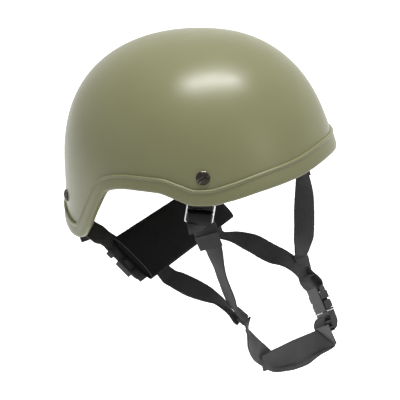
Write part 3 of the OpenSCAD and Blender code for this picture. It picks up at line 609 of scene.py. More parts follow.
def slotted_head():
    """Mesh of one screw head, with its axis along Z."""
    m = 48
    head = bpy.data.meshes.new("head")
    head.from_pydata([(r * c, r * s, h) for r, h in HEAD for c, s in circle(m)] + HEAD_TIPS,
                     [], tipped_faces(len(HEAD), m))
    cut = bpy.data.meshes.new("cut")
    bm = bmesh.new()
    place = Matrix.Rotation(radians(SLOT_TURN), 4, "Z") @ Matrix.Translation((0, 0, SLOT_Z))
    bmesh.ops.create_cube(bm, size=1, matrix=place @ Matrix.Diagonal(SLOT_SIZE))
    bm.to_mesh(cut)
    bm.free()
    head_ob, cut_ob = linked("head", head), linked("cut", cut)
    slot = head_ob.modifiers.new("slot", "BOOLEAN")
    slot.object = cut_ob
    slot.operation = "DIFFERENCE"
    slot.solver = "EXACT"
    done = evaluated_mesh(head_ob)
    for ob in (head_ob, cut_ob):
        bpy.data.objects.remove(ob)
    return done


def build_screws():
    """Domed heads with a slot and the start of the shank."""
    head = slotted_head()
    verts, faces = [], []
    for post in POSTS:
        o, i, j, k = post_frame(*post)
        faces += moved([p.vertices for p in head.polygons], len(verts))
        verts += [o + i * v.co.x + j * v.co.y + k * (v.co.z + GAP) for v in head.vertices]
    mesh_object("slotted_screws", verts, faces, "helmet", "screw", ["shell_screws"], sharp=30)


# Hangers: plan angle and height of their screw, the glide's upper bar, the step to its other bars, and
# the radius of the webbing round a bar. They lean by LEAN degrees.
HANG_A, SCREW_Z = radians(-26.3), 38.8
BAR_R, BAR_Z, BAR_GAP, LOOP_R = 114.2, 9.5, 7.5, 2.4
LEAN = {-1: -4.6, 1: 14.0}


def lean_point(v, lean):
    r = radians(lean)
    y = v[1] - SCREW_Z
    return arr(v[0], SCREW_Z + y * cos(r) - v[2] * sin(r), y * sin(r) + v[2] * cos(r))


def hang_dir(v):
    c, s = cos(HANG_A), sin(HANG_A)
    return arr(-c * v[0] + s * v[2], s * v[0] + c * v[2], v[1])


def hang_point(side, out, z):
    """Point of the hanger at a radius and a height."""
    return hang_dir(lean_point((out, z, 0), LEAN[side])) * arr(-side, 1, 1)


def hang_across(side):
    d = lean_point((0, SCREW_Z, 1), LEAN[side]) - arr(0, SCREW_Z, 0)
    return hang_dir(d) * arr(-side, 1, 1)


# Nape sleeve: middle, axes, size, and the heights at which webbing lies on it and under an adjuster
SLEEVE_O = arr(0, 33, -69.5)
TILT = radians(36.3)
SX = unit((1, 0, -0.0284))
SY = unit(np.cross((0, sin(TILT), -cos(TILT)), SX))
SZ = np.cross(SX, SY)
SLEEVE_L, SLEEVE_W, SLEEVE_T = 176.0, 54.0, 9.0
SEAT, UNDER, STRAP_X = 5.7, 7.4, 86.5


def on_sleeve(x, s, n):
    return SLEEVE_O + x * SX + s * SY + n * SZ


# Junctions: middle, direction down and direction across; LAP is the step to a strap sewn on one
JOINT = {-1: (arr(-73.7, -72, -109.1), unit((0.07, -0.875, -0.48)), arr(0.956, 0.196, -0.218)),
         1: (arr(77.5, -77.8, -122.9), unit((-0.2, -0.35, -0.91)), arr(0.93, -0.36, -0.06))}
LAP = 2.4


def on_joint(side, x, y, z):
    o, down, w = JOINT[side]
    across = unit(w - down * (w @ down))
    return o + x * across + y * np.cross(down, across) + z * down


# Buckle: middle of the socket's bar, axes, and the place of the plug along them
BUCKLE_O = arr(72.5, -93.6, -143)
BZ = unit((-0.2738, -0.5487, -0.7896))
BX = unit(arr(-0.4625, -0.6441, 0.6086) - BZ * (arr(-0.4625, -0.6441, 0.6086) @ BZ))
BY = np.cross(BZ, BX)
PLUG_Z = 27.4


def on_buckle(x, y, z):
    return BUCKLE_O + x * BX + y * BY + z * BZ


def mirror(points):
    return [(-p[0], p[1], p[2]) for p in points]


# Hangers and glides
def half_turn(mid, way, steps):
    """Half circle of webbing round a bar of the glide, as (radius, height)."""
    turns = [radians(180 / steps * k) for k in range(steps + 1)]
    return [(BAR_R + LOOP_R * cos(t), mid + way * LOOP_R * sin(t)) for t in turns]


def build_hangers():
    for side, name in SIDES:
        line = [(114, 47), (116.4, 38.8), (117.6, 31.5), (117.4, 25), (116.6, 17)]
        line += half_turn(BAR_Z, -1, 8)
        line += [(BAR_R - LOOP_R, 13), (112.6, 19), (114.3, 25), (114.9, 29)]
        # The hangers get the near-black webbing: painted shade.
        bending_webbing(name + "_hanger_web", [hang_point(side, *v) for v in line],
                        [hang_across(side)] * len(line), name + "_hanger", ("helmet", "harness"),
                        hang_point(side, 116, 27), hang_point(side, 114, 12), seed=3.0 + side,
                        mat="webbing_shaded_gloss", wave=0.05)


# Webbing wrapped over a glide, as (reach beyond the bar, height)
WRAP = [(2.0, 3.4), (3.6, 2.6), (4.5, 0.4), (4.7, -2.4), (4.4, -5.0), (3.2, -7.2), (1.0, -8.1), (-1.6, -8.0)]


def build_glides():
    """Thin bent-wire tri-glides; the near one hangs a little askew."""
    reach, corner = 11.9, 1.4
    top, low = BAR_Z + 1.2, BAR_Z - 2 * BAR_GAP - 1.2
    for side, name in SIDES:
        askew = 0.65 if side < 0 else 0.0
        across = hang_across(side)

        def place(x, z):
            return hang_point(side, BAR_R, z) + across * (x + askew * (2.0 - z) / 8.5)

        loop = []
        for cx, cz, start in ((1, 1, 0), (-1, 1, 90), (-1, -1, 180), (1, -1, 270)):
            for q in range(0, 91, 18):
                t = radians(start + q)
                edge = top - corner if cz > 0 else low + corner
                loop.append(place(cx * (reach - corner) + corner * cos(t), edge + corner * sin(t)))
        tube(name + "_glide_frame", loop, 0.95, "harness", "steel", closed=True, m=12)
        # The wraps get the near-black webbing: painted shade.
        webbing(name + "_wrap_web", [hang_point(side, BAR_R + a, b) for a, b in WRAP],
                [across] * len(WRAP), "harness", w=21.0, seed=40 + side, mat="webbing_shaded_gloss",
                wave=0.05, step=0.6)
        bar = [place(x, BAR_Z - BAR_GAP) for x in np.linspace(-reach, reach, 9)]
        tube(name + "_glide_bar", bar, 1.05, "harness", "steel", m=12,
             nodes=[name + "_glide"])


# Front straps: the free run, its crosswise directions, and the place of its end on the junction
FALL = {-1: [
    (-100.2, -50.2, -12), (-100.3, -54, -21), (-99, -57.9, -31.1), (-97.9, -59.4, -36.1),
    (-96.8, -60.4, -42.2), (-95.3, -61.9, -49.9), (-93.2, -63.4, -57.6), (-90.8, -64.8, -66),
    (-87.8, -66.4, -74.5), (-84.8, -67.8, -83.5), (-81.8, -68.9, -92.6), (-78.7, -70.5, -100.9)], 1: [
    (95, -60.8, -12), (96, -63, -20), (97.2, -65.5, -29), (99, -66.8, -45), (99.5, -67.5, -68),
    (97.5, -69, -84.7), (94.2, -70.3, -95), (91.5, -70.5, -100.5), (88.4, -70.9, -105.5),
    (84.8, -71.6, -110.2), (83.1, -72.8, -114.1)]}
TURN = {-1: [
    (-0.443, 0.897, 0), (-0.2, 0.96, -0.1), (0.14, 0.95, -0.26), (0.31, 0.94, -0.15), (0.4, 0.91, -0.1),
    (0.5, 0.87, -0.05), (0.55, 0.84, 0), (0.53, 0.85, 0.02), (0.51, 0.86, 0.03), (0.5, 0.87, 0.05),
    (0.55, 0.83, 0.06), (0.61, 0.79, 0.01)], 1: [
    (0.443, 0.897, 0), (0.443, 0.897, 0), (0.443, 0.897, 0), (0.15, 0.98, 0), (-0.25, 0.96, 0),
    (-0.48, 0.88, 0.03), (-0.52, 0.85, 0.11), (-0.6, 0.71, 0.37), (-0.68, 0.54, 0.51),
    (-0.77, 0.37, 0.52), (-0.91, 0.27, 0.3)]}
LAND = {-1: [(-0.4, 1.8), (-0.6, 5.2), (-0.8, 8.6)], 1: [(-4.6, -4.5), (-4.6, 1.0), (-4.6, 7.5)]}
# Half length of the end sewn back on each front strap
SEWN_HALF = {-1: 6.8, 1: 4}


def sewn_frame(side):
    """Middle and axes of a sewn end: across, out of and along the front strap."""
    start, end = arr(*FALL[side][1]), arr(*FALL[side][2])
    z, w = unit(end - start), arr(*TURN[side][1])
    x = unit(w - z * (w @ z))
    return start * 0.65 + end * 0.35, x, np.cross(z, x), z


def build_front_straps():
    for side, name in SIDES:
        near = BAR_R + LOOP_R
        order = [(near + 0.4, -14.5), (near + 0.5, -10), (near, -5.5)]
        order += half_turn(BAR_Z - BAR_GAP, 1, 6) + [(BAR_R - LOOP_R, -4)]
        top = [hang_point(side, *v) for v in order]
        land = [on_joint(side, 0, LAP + y, z) for y, z in LAND[side]]
        wide = [hang_across(side)] * len(top) + TURN[side]
        wide += [JOINT[side][2] * -side] * len(land)
        out = unit(top[0] * arr(1, 1, 0))
        wide[0], wide[1] = wide[0] + out * 1.0, wide[1] + out * 0.6
        # Its stretch round the glide is near black: painted shade.
        webbing(name + "_front_web", top + FALL[side] + land, wide, "harness",
                [name + "_front_strap"], seed=7.0 + side, shaded_stretch=(8, 27))
        o, x, y, z = sewn_frame(side)
        rise = side * (WEB_T / 2 + GAP + 1)
        sewn = [o + y * rise + z * q * SEWN_HALF[side] for q in (-1, -0.5, 0, 0.5, 1)]
        webbing(name + "_sewn_web", sewn, [x] * 5, "harness", [name + "_sewn_end"], w=22.4, t=1.6,
                seed=9 + side, wave=0.05)


# Rear straps: the free run from the screw to the sleeve, and how much lower the far one hangs
REAR_FREE = [
    (-74.2, 107.6, -7), (-74.2, 107.6, -16), (-74.2, 107.6, -26), (-72.4, 105.4, -36.5),
    (-70.2, 101, -45.5), (-71.4, 93, -51.8), (-75, 84, -54.6), (-79.4, 73, -56.8)]
REAR_WIDE = [
    (0.733, 0.68, 0), (0.733, 0.68, 0), (0.733, 0.68, 0), (0.733, 0.68, 0), (0.82, 0.5, 0.12),
    (0.93, 0.15, 0.1), (0.86, -0.22, 0.15), (0.93, -0.17, 0.1)]
SAG = [0, 0, 0, 0, 0, 1, 2.2, 3.6]
TAIL_RUN = [(-71, 101, -50.8), (-74, 98.6, -55), (-77, 95.4, -60), (-79, 92, -65)]
TAIL_WIDE = [(0.46, -0.888, 0)] * 4


def build_rear_straps():
    for side, name in SIDES:
        own = mirror if side > 0 else list
        free = [arr(*v) - arr(0, 0, g if side > 0 else 0) for v, g in zip(own(REAR_FREE), SAG)]
        flat = [on_sleeve(side * STRAP_X, v, UNDER) for v in (-29, -22, -15, -5, 8, 14.5)]
        sewn = [on_sleeve(side * STRAP_X, v, SEAT) for v in (18.5, 21.8)]
        wide = own(REAR_WIDE) + [-side * SX] * 8
        # The rear straps get the lighter webbing, painted light where the shell shades them.
        webbing(name + "_rear_web", free + flat + sewn, wide, "helmet", [name + "_rear_strap"],
                seed=12 + side, mat="webbing_rear_lightened")
        webbing(name + "_tail_web", own(TAIL_RUN), own(TAIL_WIDE), "helmet", [name + "_rear_tail"],
                w=10, t=1.4, seed=15 + side)


# Side straps: place on the sleeve, free run, crosswise directions, and the end on the junction
SIDE_X = {-1: -60, 1: 56}
SIDE_RUN = {-1: [
    (-61.6, 7, -92.6), (-62.9, -1.1, -93.4), (-65, -11.5, -94.7), (-67.6, -21.4, -95.4),
    (-69.5, -32.2, -96.5), (-71.2, -41.6, -97.9), (-72.5, -49.1, -99.2), (-73.5, -54.4, -100.7),
    (-74.1, -60.4, -104.1), (-74.5, -65.7, -108.1)], 1: [
    (56.5, 9.8, -96.4), (58.4, 2.6, -96.9), (60.6, -5.2, -97.7), (63.3, -15.1, -100.4),
    (66.2, -25.9, -104.1), (68.8, -37.2, -109.9), (70.2, -46.8, -113.4), (69.4, -55.9, -114.5),
    (68, -65.5, -116.4), (67.1, -73.8, -119.4)]}
SIDE_WIDE = {-1: [
    (0.98, -0.08, 0.17), (0.94, -0.22, 0.26), (0.91, -0.25, 0.33), (0.91, -0.23, 0.34),
    (0.96, -0.2, 0.21), (0.99, -0.17, -0.01), (0.97, -0.13, -0.21), (0.95, 0.01, -0.33),
    (0.92, 0.16, -0.35), (0.91, 0.24, -0.35)], 1: [
    (0.96, 0.27, -0.1), (0.96, 0.27, -0.01), (0.96, 0.23, 0.17), (0.89, 0.11, 0.43), (0.78, -0.07, 0.62),
    (0.75, -0.13, 0.65), (0.8, 0, 0.6), (0.92, 0.1, 0.39), (0.97, 0.1, 0.22), (0.98, 0.01, 0.19)]}
SIDE_LAP = {-1: [(0, -1.3 - LAP, 2.0), (0, -0.8 - LAP, 5.0)],
            1: [(-6.6, LAP, 2.6), (-3.9, LAP, 6.0), (-2.5, LAP, 9.2)]}
SIDE_FOOT = {-1: JOINT[-1][2], 1: arr(0.97, -0.17, 0.19)}


def build_side_straps():
    for side, name in SIDES:
        sewn = [on_sleeve(SIDE_X[side], v, SEAT) for v in (13, 20, 26)]
        lap = [on_joint(side, *v) for v in SIDE_LAP[side]]
        run = sewn + [arr(*v) for v in SIDE_RUN[side]] + lap
        wide = [(1, 0, 0)] * 3 + SIDE_WIDE[side] + [SIDE_FOOT[side]] * len(lap)
        bending_webbing(name + "_side_web", run, wide, name + "_side_strap", ("helmet", "harness"),
                        run[3], run[-3], seed=18 + side)


def build_junctions():
    for side, name in SIDES:
        top = 1.5 if side < 0 else -9
        run = [on_joint(side, 0, 0, q) for q in np.linspace(top, 9, 5)]
        webbing(name + "_junction_web", run, [JOINT[side][2]] * 5, "harness", [name + "_junction"],
                w=20, t=2.0, seed=21 + side, wave=0.0)


# Chin webbing: the strap down from the near junction, and the layer that doubles back over it
CHIN_RUN = [
    (-71.8, -81.6, -121.6), (-69.5, -80.9, -131.9), (-63.6, -82.2, -142), (-56.6, -83.5, -151.2),
    (-49, -83.9, -158.8), (-39.4, -86.5, -168.5), (-28.9, -88.7, -178.4), (-16.8, -92.3, -186.5),
    (-4, -97.7, -194.7), (10.6, -104.1, -198.3), (23.9, -108.8, -198.6), (34.6, -112.1, -196.6),
    (44.5, -115.2, -191.6), (52.5, -117.8, -186.9)]
CHIN_WIDE = [
    (0.84, 0.5, 0.2), (0.83, 0.43, 0.36), (0.82, 0.27, 0.51), (0.75, 0.17, 0.64), (0.71, 0.16, 0.68),
    (0.71, 0.25, 0.66), (0.63, 0.4, 0.67), (0.52, 0.78, 0.36), (0.35, 0.93, -0.12), (0.31, 0.89, -0.34),
    (0.29, 0.82, -0.49), (0.38, 0.84, -0.4), (0.3, 0.9, 0.1), (0.15, 0.66, 0.72)]
RETURN_RUN = [
    (-50.3, -84.6, -172.2), (-35.6, -90.5, -173.1), (-19.6, -95.9, -175.5), (-1, -101.5, -178.5),
    (18.2, -106.7, -181.5), (36.2, -113.4, -182.9), (48.2, -124.3, -178.1)]
RETURN_WIDE = [
    (-0.07, -0.21, 0.98), (0.06, -0.1, 0.99), (0.18, 0.06, 0.98), (0.24, 0.3, 0.92), (0.21, 0.34, 0.91),
    (0.19, 0.37, 0.91), (0.19, 0.38, 0.91)]
# The turn through the plug, in the buckle's Y and Z, and a point on the chin webbing below the chin
PLUG_TURN = [
    (3.8, 47.6), (0.6, 45.3), (-1.8, 41.6), (-2.8, 37.6), (-1.4, 34.2), (2.2, 32.6), (6.2, 31.8),
    (9.8, 33.8), (12.6, 37.8), (12.8, 41.4), (10.6, 44.4), (8.4, 46)]
CHIN_BEND = arr(0, -100, -190)


def build_chin():
    lead = [on_joint(-1, 0, 0, z) for z in (9.3, 12.0)]
    wide = [JOINT[-1][2]] * 2 + CHIN_WIDE
    span = (CHIN_BEND, on_buckle(0, 0, PLUG_Z + 22))
    bending_webbing("chin_web", lead + CHIN_RUN, wide, "chin_strap",
                    ("harness", "plug"), *span, seed=24)
    bending_webbing("chin_return_web", RETURN_RUN, RETURN_WIDE, "chin_return", ("harness", "plug"),
                    *span, seed=27, slant=8.5)
    webbing("chin_turn_web", [on_buckle(0, y, z) for y, z in PLUG_TURN], [BX] * len(PLUG_TURN), "plug",
            ["chin_turn"], wave=0.0, step=0.7, seed=29)


def build_loop():
    """Slack sewn loop that turns with the webbing between the far junction and the socket's bar."""
    legs = {1: [(-1.0, 6.4, -12.4), (-0.4, 7.4, -8.5), (0, 6.8, -4.4), (0, 4.6, -0.8)],
            -1: [(-1.0, -1.0, -12.4), (-0.4, -3.6, -8.5), (0, -4.8, -4.4), (0, -4.3, -1.2)]}
    there, back = [[on_joint(1, 0, 1.3 * way, 8.7)] + [on_buckle(*v) for v in legs[way]] for way in (1, -1)]
    turns = np.radians(np.linspace(15, 165, 9))
    bar = [on_buckle(0, 3.3 * cos(q), 1.2 + 3.9 * sin(q)) for q in turns]
    sides = [unit(k * JOINT[1][2] + (1 - k) * BX) for k in (0.4, 0.12, 0, 0, 0)]
    webbing("buckle_loop_web", there + bar + back[::-1], sides + [BX] * 9 + sides[::-1], "harness",
            ["buckle_loop"], seed=31, wave=0.0)


def build_socket_cover():
    """Smooth outer face of the socket, with a lip turned in at its bar."""
    lip = [(4.0, -2.1), (4.5, -1.7), (4.6, 0.5), (4.5, 4), (4.3, 10), (4.2, 18), (4.2, 26)]
    webbing("socket_cover", [on_buckle(0, y, z) for y, z in lip], [BX] * len(lip), "harness", w=22.6,
            t=1.0, wave=0.0, step=0.7, mat="plastic", slot="buckle_plastic", tooth=0.0)


# Corners of the folded flap beside the plug: its root, and the ends of its outer edge
FLAP = [arr(38.7, -109.6, -171.6), arr(46.9, -119.5, -167.7), arr(44.9, -129.5, -187.3)]


def build_fold():
    """Corner of the chin webbing folded over beside the plug, a thick flap with a rolled edge."""
    root, high, low = FLAP
    out = unit(np.cross(low - root, high - root))
    n, m = 26, 14
    around = 2 * m + 2
    verts, weave = [], []
    for i in range(n + 1):
        for face, j in [(1, j) for j in range(m + 1)] + [(-1, j) for j in range(m, -1, -1)]:
            u, v = i / n, j / m
            roll = clamp((v - 0.62) / 0.38, 0, 1)**2 * u
            swell = 0.5 * sin(pi * u) * sin(pi * v)
            rise = WEB_T / 2 * face * (1 - 0.75 * roll) - 0.9 * roll + swell
            verts.append((1 - u) * root + u * ((1 - v) * high + v * low) + out * rise)
            weave.append((WEB_W * u * (0.5 - v), WEB_W * u, 0))
    end = n * around
    faces = ring_faces(n + 1, around)
    faces += [(end + j, end + j + 1, end + around - 2 - j, end + around - 1 - j) for j in range(m)]
    # The flap gets the lighter webbing as a painted highlight on the fold.
    orient(mesh_object("chin_fold_flap", verts, faces, "plug", "webbing_highlight", (), weave, 65))


# Nape sleeve and its foam
def sleeve_section(x, inset, shift=0.0, around=64):
    """Closed outline of the sleeve at x, drawn in by inset and moved along by shift."""
    u = abs(x) / (SLEEVE_L / 2)
    out = []
    for c, s in circle(around):
        px = signed_power(c, 0.75) * (SLEEVE_W / 2 - inset)
        belly = 1.0 if s < 0 else 1.0 + 0.30 * (1 - u**4)
        py = -signed_power(s, 0.80) * (SLEEVE_T / 2 * belly - inset)
        lump = 0.35 * noise.noise(Vector((x * 0.05, px * 0.07, 4.0 if s > 0 else 8.0))) * (1 - inset)
        out.append(on_sleeve(x, px, py + (lump if py < 0 else 0)) + SX * shift)
    return out


def build_sleeve():
    """Plush tube, open at its ends, with a lining and a rolled lip at each end, half of it lighter as a
    painted highlight.
    """
    half, around, thick = SLEEVE_L / 2, 64, 1.3
    xs = np.linspace(-half, half, 90)
    mouth = [(0, thick), (0.25, 0.9), (0.25, 0.4)]
    rows = [(-half, inset, -shift) for shift, inset in mouth] + [(x, 0.0, 0) for x in xs]
    rows += [(half, inset, shift) for shift, inset in reversed(mouth)]
    first_in = len(rows) - 1
    rows += [(x, thick, 0) for x in reversed(xs[1:-1])]
    verts = [v for x, inset, shift in rows for v in sleeve_section(x, inset, shift)]
    ob = mesh_object("sleeve_cloth", verts, ring_faces(len(rows), around, True), "helmet", "sleeve",
                     ["nape_sleeve"])
    ob.data.materials.append(MAT["lining"])
    for p in ob.data.polygons:
        if min(p.vertices) // around >= first_in:
            p.material_index = 1
    for side, name in SIDES:
        ring = sleeve_section(side * half, 0.65, side * 0.3)
        middle = around // 2
        # One half of each lip is lighter webbing, a painted highlight; the other half is plush.
        tube("sleeve_lip_highlight_" + name, ring[1:middle], 0.6, "helmet", "lip_highlight")
        tube("sleeve_hem_" + name, ring[middle - 1:] + ring[:2], 0.8, "helmet", "sleeve")


def build_insert():
    """Foam strip inside the sleeve, rounded along its edges and at its ends."""
    half_l, half_w, half_t = SLEEVE_L / 2 - 9, (SLEEVE_W - SLEEVE_T) / 2 - 1, SLEEVE_T / 2 - 1.45
    around, n, round_from = 40, 60, 0.97
    verts = []
    for i in range(n + 1):
        u = -1 + 2 * i / n
        past = max(0.0, abs(u) - round_from) / (1 - round_from)
        end = 0.25 + 0.75 * sqrt(max(0.0, 1 - past**2))
        for c, s in circle(around):
            x, y = signed_power(c, 0.35) * half_w, signed_power(s, 0.5) * half_t
            soft = 0.25 * noise.noise(Vector((u * 6, x * 0.1, s)))
            verts.append(on_sleeve(u * half_l, x, 0.15 + y * end + soft * (1 - abs(u))))
    ob = mesh_object("sleeve_foam", verts, capped_faces(n + 1, around), "helmet", "foam",
                     ["nape_insert"], sharp=60)
    orient(ob)


# Stitches
def stitches(name, lines, body, length=2.3, space=0.9, r=0.28):
    """Raised thread stitches along lines of (points, normal)."""
    around_tip = [(0, 3, 2), (0, 4, 3), (1, 8, 9), (1, 9, 10)]
    flanks = [(q + k, q + k + 1, q + k + 4, q + k + 3) for q in (2, 5) for k in (0, 1)]
    verts, faces = [], []
    for points, normal in lines:
        p = np.asarray(points, float)
        s = lengths(p)
        k = unit(normal)
        at = space / 2
        while at + length <= s[-1]:
            a, b = sample(at, s, p), sample(at + length, s, p)
            w = np.cross(unit(b - a), k)
            faces += moved(around_tip + flanks, len(verts))
            verts += [a - k * r * 0.6, b - k * r * 0.6]
            for t, share in ((0.15, 0.75), (0.5, 1.0), (0.85, 0.75)):
                c = a + (b - a) * t
                verts += [c + w * r * share, c + k * r * share, c - w * r * share]
            at += length + space
    mesh_object(name, verts, faces, body, "thread")


def build_stitches():
    """Boxed crosses on the junctions, seams over the sewn ends and along the sleeve's mouths."""
    half = 8.5
    for side, name in SIDES:
        low, high = (3.0 if side < 0 else -4.0), 7.5
        box = [(-half, low), (half, low), (half, high), (-half, high), (-half, low), (half, high)]
        lines = []
        for way in (1, -1):
            normal = on_joint(side, 0, way, 0) - on_joint(side, 0, 0, 0)
            points = [on_joint(side, x, way * (WEB_T / 2 + LAP + 0.02), z) for x, z in box]
            lines += [(pair, normal) for pair in zip(points, points[1:])]
        stitches(name + "_junction_thread", lines, "harness")
        o, x, y, z = sewn_frame(side)
        middles = [o + y * side * (WEB_T / 2 + GAP + 1.8) + z * q for q in (-2.6, 0.0, 2.6)]
        stitches(name + "_sewn_thread", [((c - x * 9.8, c + x * 9.8), y * side) for c in middles], "harness")
    lines = []
    for end in (-1, 1):
        seam = [on_sleeve(end * (SLEEVE_L / 2 - 4), s, SLEEVE_T / 2 + 0.02) for s in np.linspace(-19, 19, 12)]
        lines.append((seam, SZ))
    stitches("sleeve_hem_thread", lines, "helmet")


def build_hardware():
    soften("post_nuts", "post_nut_heads", 0.35, "screw")
    for side in ("right", "left"):
        soften(side + "_adjuster", side + "_slide", 0.5, "plastic")
        soften(side + "_keeper", side + "_keeper_loop", 0.5, "webbing")
    soften("buckle_socket", "buckle_socket_shell", 0.7, "plastic", 3)
    soften("buckle_plug", "buckle_plug_shell", 0.6, "plastic", 3)
    soften("buckle_rear_arm", "rear_arm_shape", 0.4, "plastic")
    soften("buckle_front_arm", "front_arm_shape", 0.4, "plastic")


# Pads: node, side, plan angle and height of the middle, half width in degrees and half height, and the
# same two halves of the hook patch behind it
PADS = [
    ("front_pad", -1, -90, 76, (23, 26), (9, 17)), ("rear_pad", -1, 90, 40, (24, 33), (9, 18)),
    ("right_fore_pad", -1, -49, 75, (13, 24), (7, 14)), ("left_fore_pad", 1, -49, 75, (13, 24), (7, 14)),
    ("right_aft_pad", -1, 12, 66, (20, 26), (9, 15)), ("left_aft_pad", 1, 12, 66, (20, 26), (9, 15))]
PAD_T, PAD_BACK = 19.0, -WALL - 1.5
# Lowest heights of the crown pad's outer and inner faces
CAP_OUT, CAP_IN = 117, 101
# Section of a pad as (share of its half size, share of its depth), with a welt halfway
PAD_RINGS = [
    (0.3, 0), (0.6, 0), (0.85, 0), (0.96, -0.02), (0.995, -0.12), (1, -0.3), (1, -0.42), (0.985, -0.5),
    (1, -0.58), (0.985, -0.72), (0.93, -0.87), (0.84, -0.96), (0.66, -0.995), (0.45, -1), (0.2, -1)]
# How much smaller a pad starts than its space, and how far the cloth may then swell
PAD_SPARE, PAD_SWELL = 2.2, 2.6


def outline(a, z, half_a, half_z, off, n):
    """Square outline with round corners, n points on the shell's outside moved outward by off."""
    square = [(signed_power(c, 0.62), signed_power(s, 0.62)) for c, s in circle(n)]
    return [skin(a + half_a * x, z + half_z * y, off) for x, y in square]


def puff(ob, cap, pressure=4.0, voxel=0.005):
    """Swells a padded piece with a cloth simulation, then keeps the shape as its mesh."""
    scene = bpy.context.scene
    work = linked(ob.name + "_work", ob.data.copy())
    remesh = work.modifiers.new("remesh", "REMESH")
    remesh.mode = "VOXEL"
    remesh.voxel_size = voxel
    work.data = evaluated_mesh(work)
    work.modifiers.clear()
    cloth = work.modifiers.new("cloth", "CLOTH")
    cloth.settings.use_pressure = True
    cloth.settings.uniform_pressure_force = pressure
    cloth.settings.effector_weights.gravity = 0.0
    cloth.settings.quality = 5
    rest = [v.co.copy() for v in work.data.vertices]
    for f in range(1, 21):
        scene.frame_set(f)
    soft = evaluated_mesh(work)
    for v, r in zip(soft.vertices, rest):
        d = v.co - r
        if d.length > cap * MM:
            v.co = r + d * (cap * MM / d.length)
    work.modifiers.clear()
    work.data = soft
    smooth = work.modifiers.new("smooth", "SUBSURF")
    smooth.levels = smooth.render_levels = 1
    done = evaluated_mesh(work)
    scene.frame_set(1)
    bpy.data.objects.remove(work)
    done.materials.clear()
    done.materials.append(ob.data.materials[0])
    shade_smooth(done)
    ob.data = done


def pad_piece(node, verts, rings, around, welt, swell):
    """Cushion in its cover with a welt round it."""
    ob = mesh_object(node + "_cushion", verts, tipped_faces(rings, around), None, "pad")
    orient(ob)
    if swell:
        puff(ob, swell)
    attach(ob, "helmet")
    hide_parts(node)
    tube(node + "_welt", welt, 1.0, "helmet", "piping", closed=True)


def build_pads():
    n, n_welt = 64, 72
    small = PAD_SPARE
    top, deep = PAD_BACK - 0.4 * small, PAD_T - small
    for node, side, a, z, (half_a, half_z), _ in PADS:
        mid = a if side > 0 else 180 - a
        verts = []
        for r, d in PAD_RINGS:
            verts += outline(mid, z, (half_a - small * 0.5) * r, (half_z - small) * r, top + d * deep, n)
        verts += [skin(mid, z, top), skin(mid, z, top - deep)]
        welt = outline(mid, z, half_a * 0.995, half_z * 0.995, PAD_BACK - 0.5 * PAD_T, n_welt)
        pad_piece(node, verts, len(PAD_RINGS), n, welt, PAD_SWELL)


def build_crown_pad():
    """Cap-shaped pad: rings down its outer face, over its edge and up its inner face."""
    n, n_welt, rows = 72, 90, 12
    out, inner = CROWN + PAD_BACK, CROWN + PAD_BACK - PAD_T
    turns = [pi / 2 * j / rows for j in range(rows + 1)]
    rings = [(CAP_OUT + (out - CAP_OUT) * cos(t), PAD_BACK) for t in turns[1:]]
    rings += [(CAP_OUT + (CAP_IN - CAP_OUT) * k, PAD_BACK - PAD_T * k) for k in (0.25, 0.5, 0.75)]
    rings += [(CAP_IN + (inner - CAP_IN) * sin(t), PAD_BACK - PAD_T) for t in turns[:-1]]
    verts = [skin(360 * i / n, z, off) for z, off in rings for i in range(n)]
    verts += [arr(0, 0, out), arr(0, 0, inner)]
    middle = (CAP_OUT + CAP_IN) / 2
    welt = [skin(360 * i / n_welt, middle, PAD_BACK - PAD_T * 0.5) for i in range(n_welt)]
    pad_piece("crown_pad", verts, len(rings), n, welt, 0)


def build_hooks():
    """Hook patches between the pads and the shell, with a bevelled edge."""
    low, high = -WALL - 0.5, PAD_BACK + GAP
    rings = [(0.55, low), (0.97, low), (1.0, (low + high) / 2), (0.97, high), (0.55, high)]
    n = 48
    verts, faces = [], []
    for _, side, a, z, _, (half_a, half_z) in PADS:
        mid = a if side > 0 else 180 - a
        faces += moved(tipped_faces(len(rings), n), len(verts))
        for r, off in rings:
            verts += outline(mid, z, half_a * r, half_z * r, off, n)
        verts += [skin(mid, z, low), skin(mid, z, high)]
    # The round patch under the crown pad
    n, depth = 60, 9
    shares = (0.02, 0.4, 0.75, 1.0)
    rings = [(r, low) for r in shares] + [(r, high) for r in reversed(shares)]
    faces += moved(capped_faces(len(rings), n), len(verts))
    for r, off in rings:
        z = CROWN - depth + (depth + off) * cos(pi / 2 * r)
        verts += [skin(360 * i / n, z, off) for i in range(n)]
    orient(mesh_object("hook_patches", verts, faces, "helmet", "hook", ["hook_discs"], sharp=50))


# Studio, in metres and watts: name, place, aim, width, height and power of each lamp
LAMPS = [("key", (0.03, -0.30, 2.05), (0, 0, 0.1), 1.6, 0.40, 58),
         ("left_window", (-1.6, 1.5, 0.75), (0, 0, 0.03), 0.9, 0.9, 0.8),
         ("front_window", (-0.3, -2.2, 0.85), (0, 0, 0.03), 0.9, 0.9, 3),
         ("front_rim", (1.9, 0.6, 0.15), (0, 0, 0.0), 1.2, 1.2, 0.8),
         ("rear_rim", (1.1, 1.8, 0.1), (0, 0, 0.0), 1.0, 1.0, 0.3)]
KEY_TURN = -46
# Strength of the white surroundings as light on the object, and as seen directly or in a reflection
WORLD_LIGHT, WORLD_SEEN = 0.53, 1.0
FLOOR_LIGHT, FLOOR_SEEN = 0.22, 0.75
FLOOR_Z, FLOOR_HALF = -0.75, 6.0
# Camera: plan angle, drop and distance of its view, then focal length and centre shift in pixels
CAM_PLAN, CAM_DROP, CAM_FAR = 27.347, 20.802, 0.9764
FRAME_PX, FOCAL_PX, SHIFT_PX = 400, 983.3, (-5.6, -30.5)
SENSOR_MM = 36


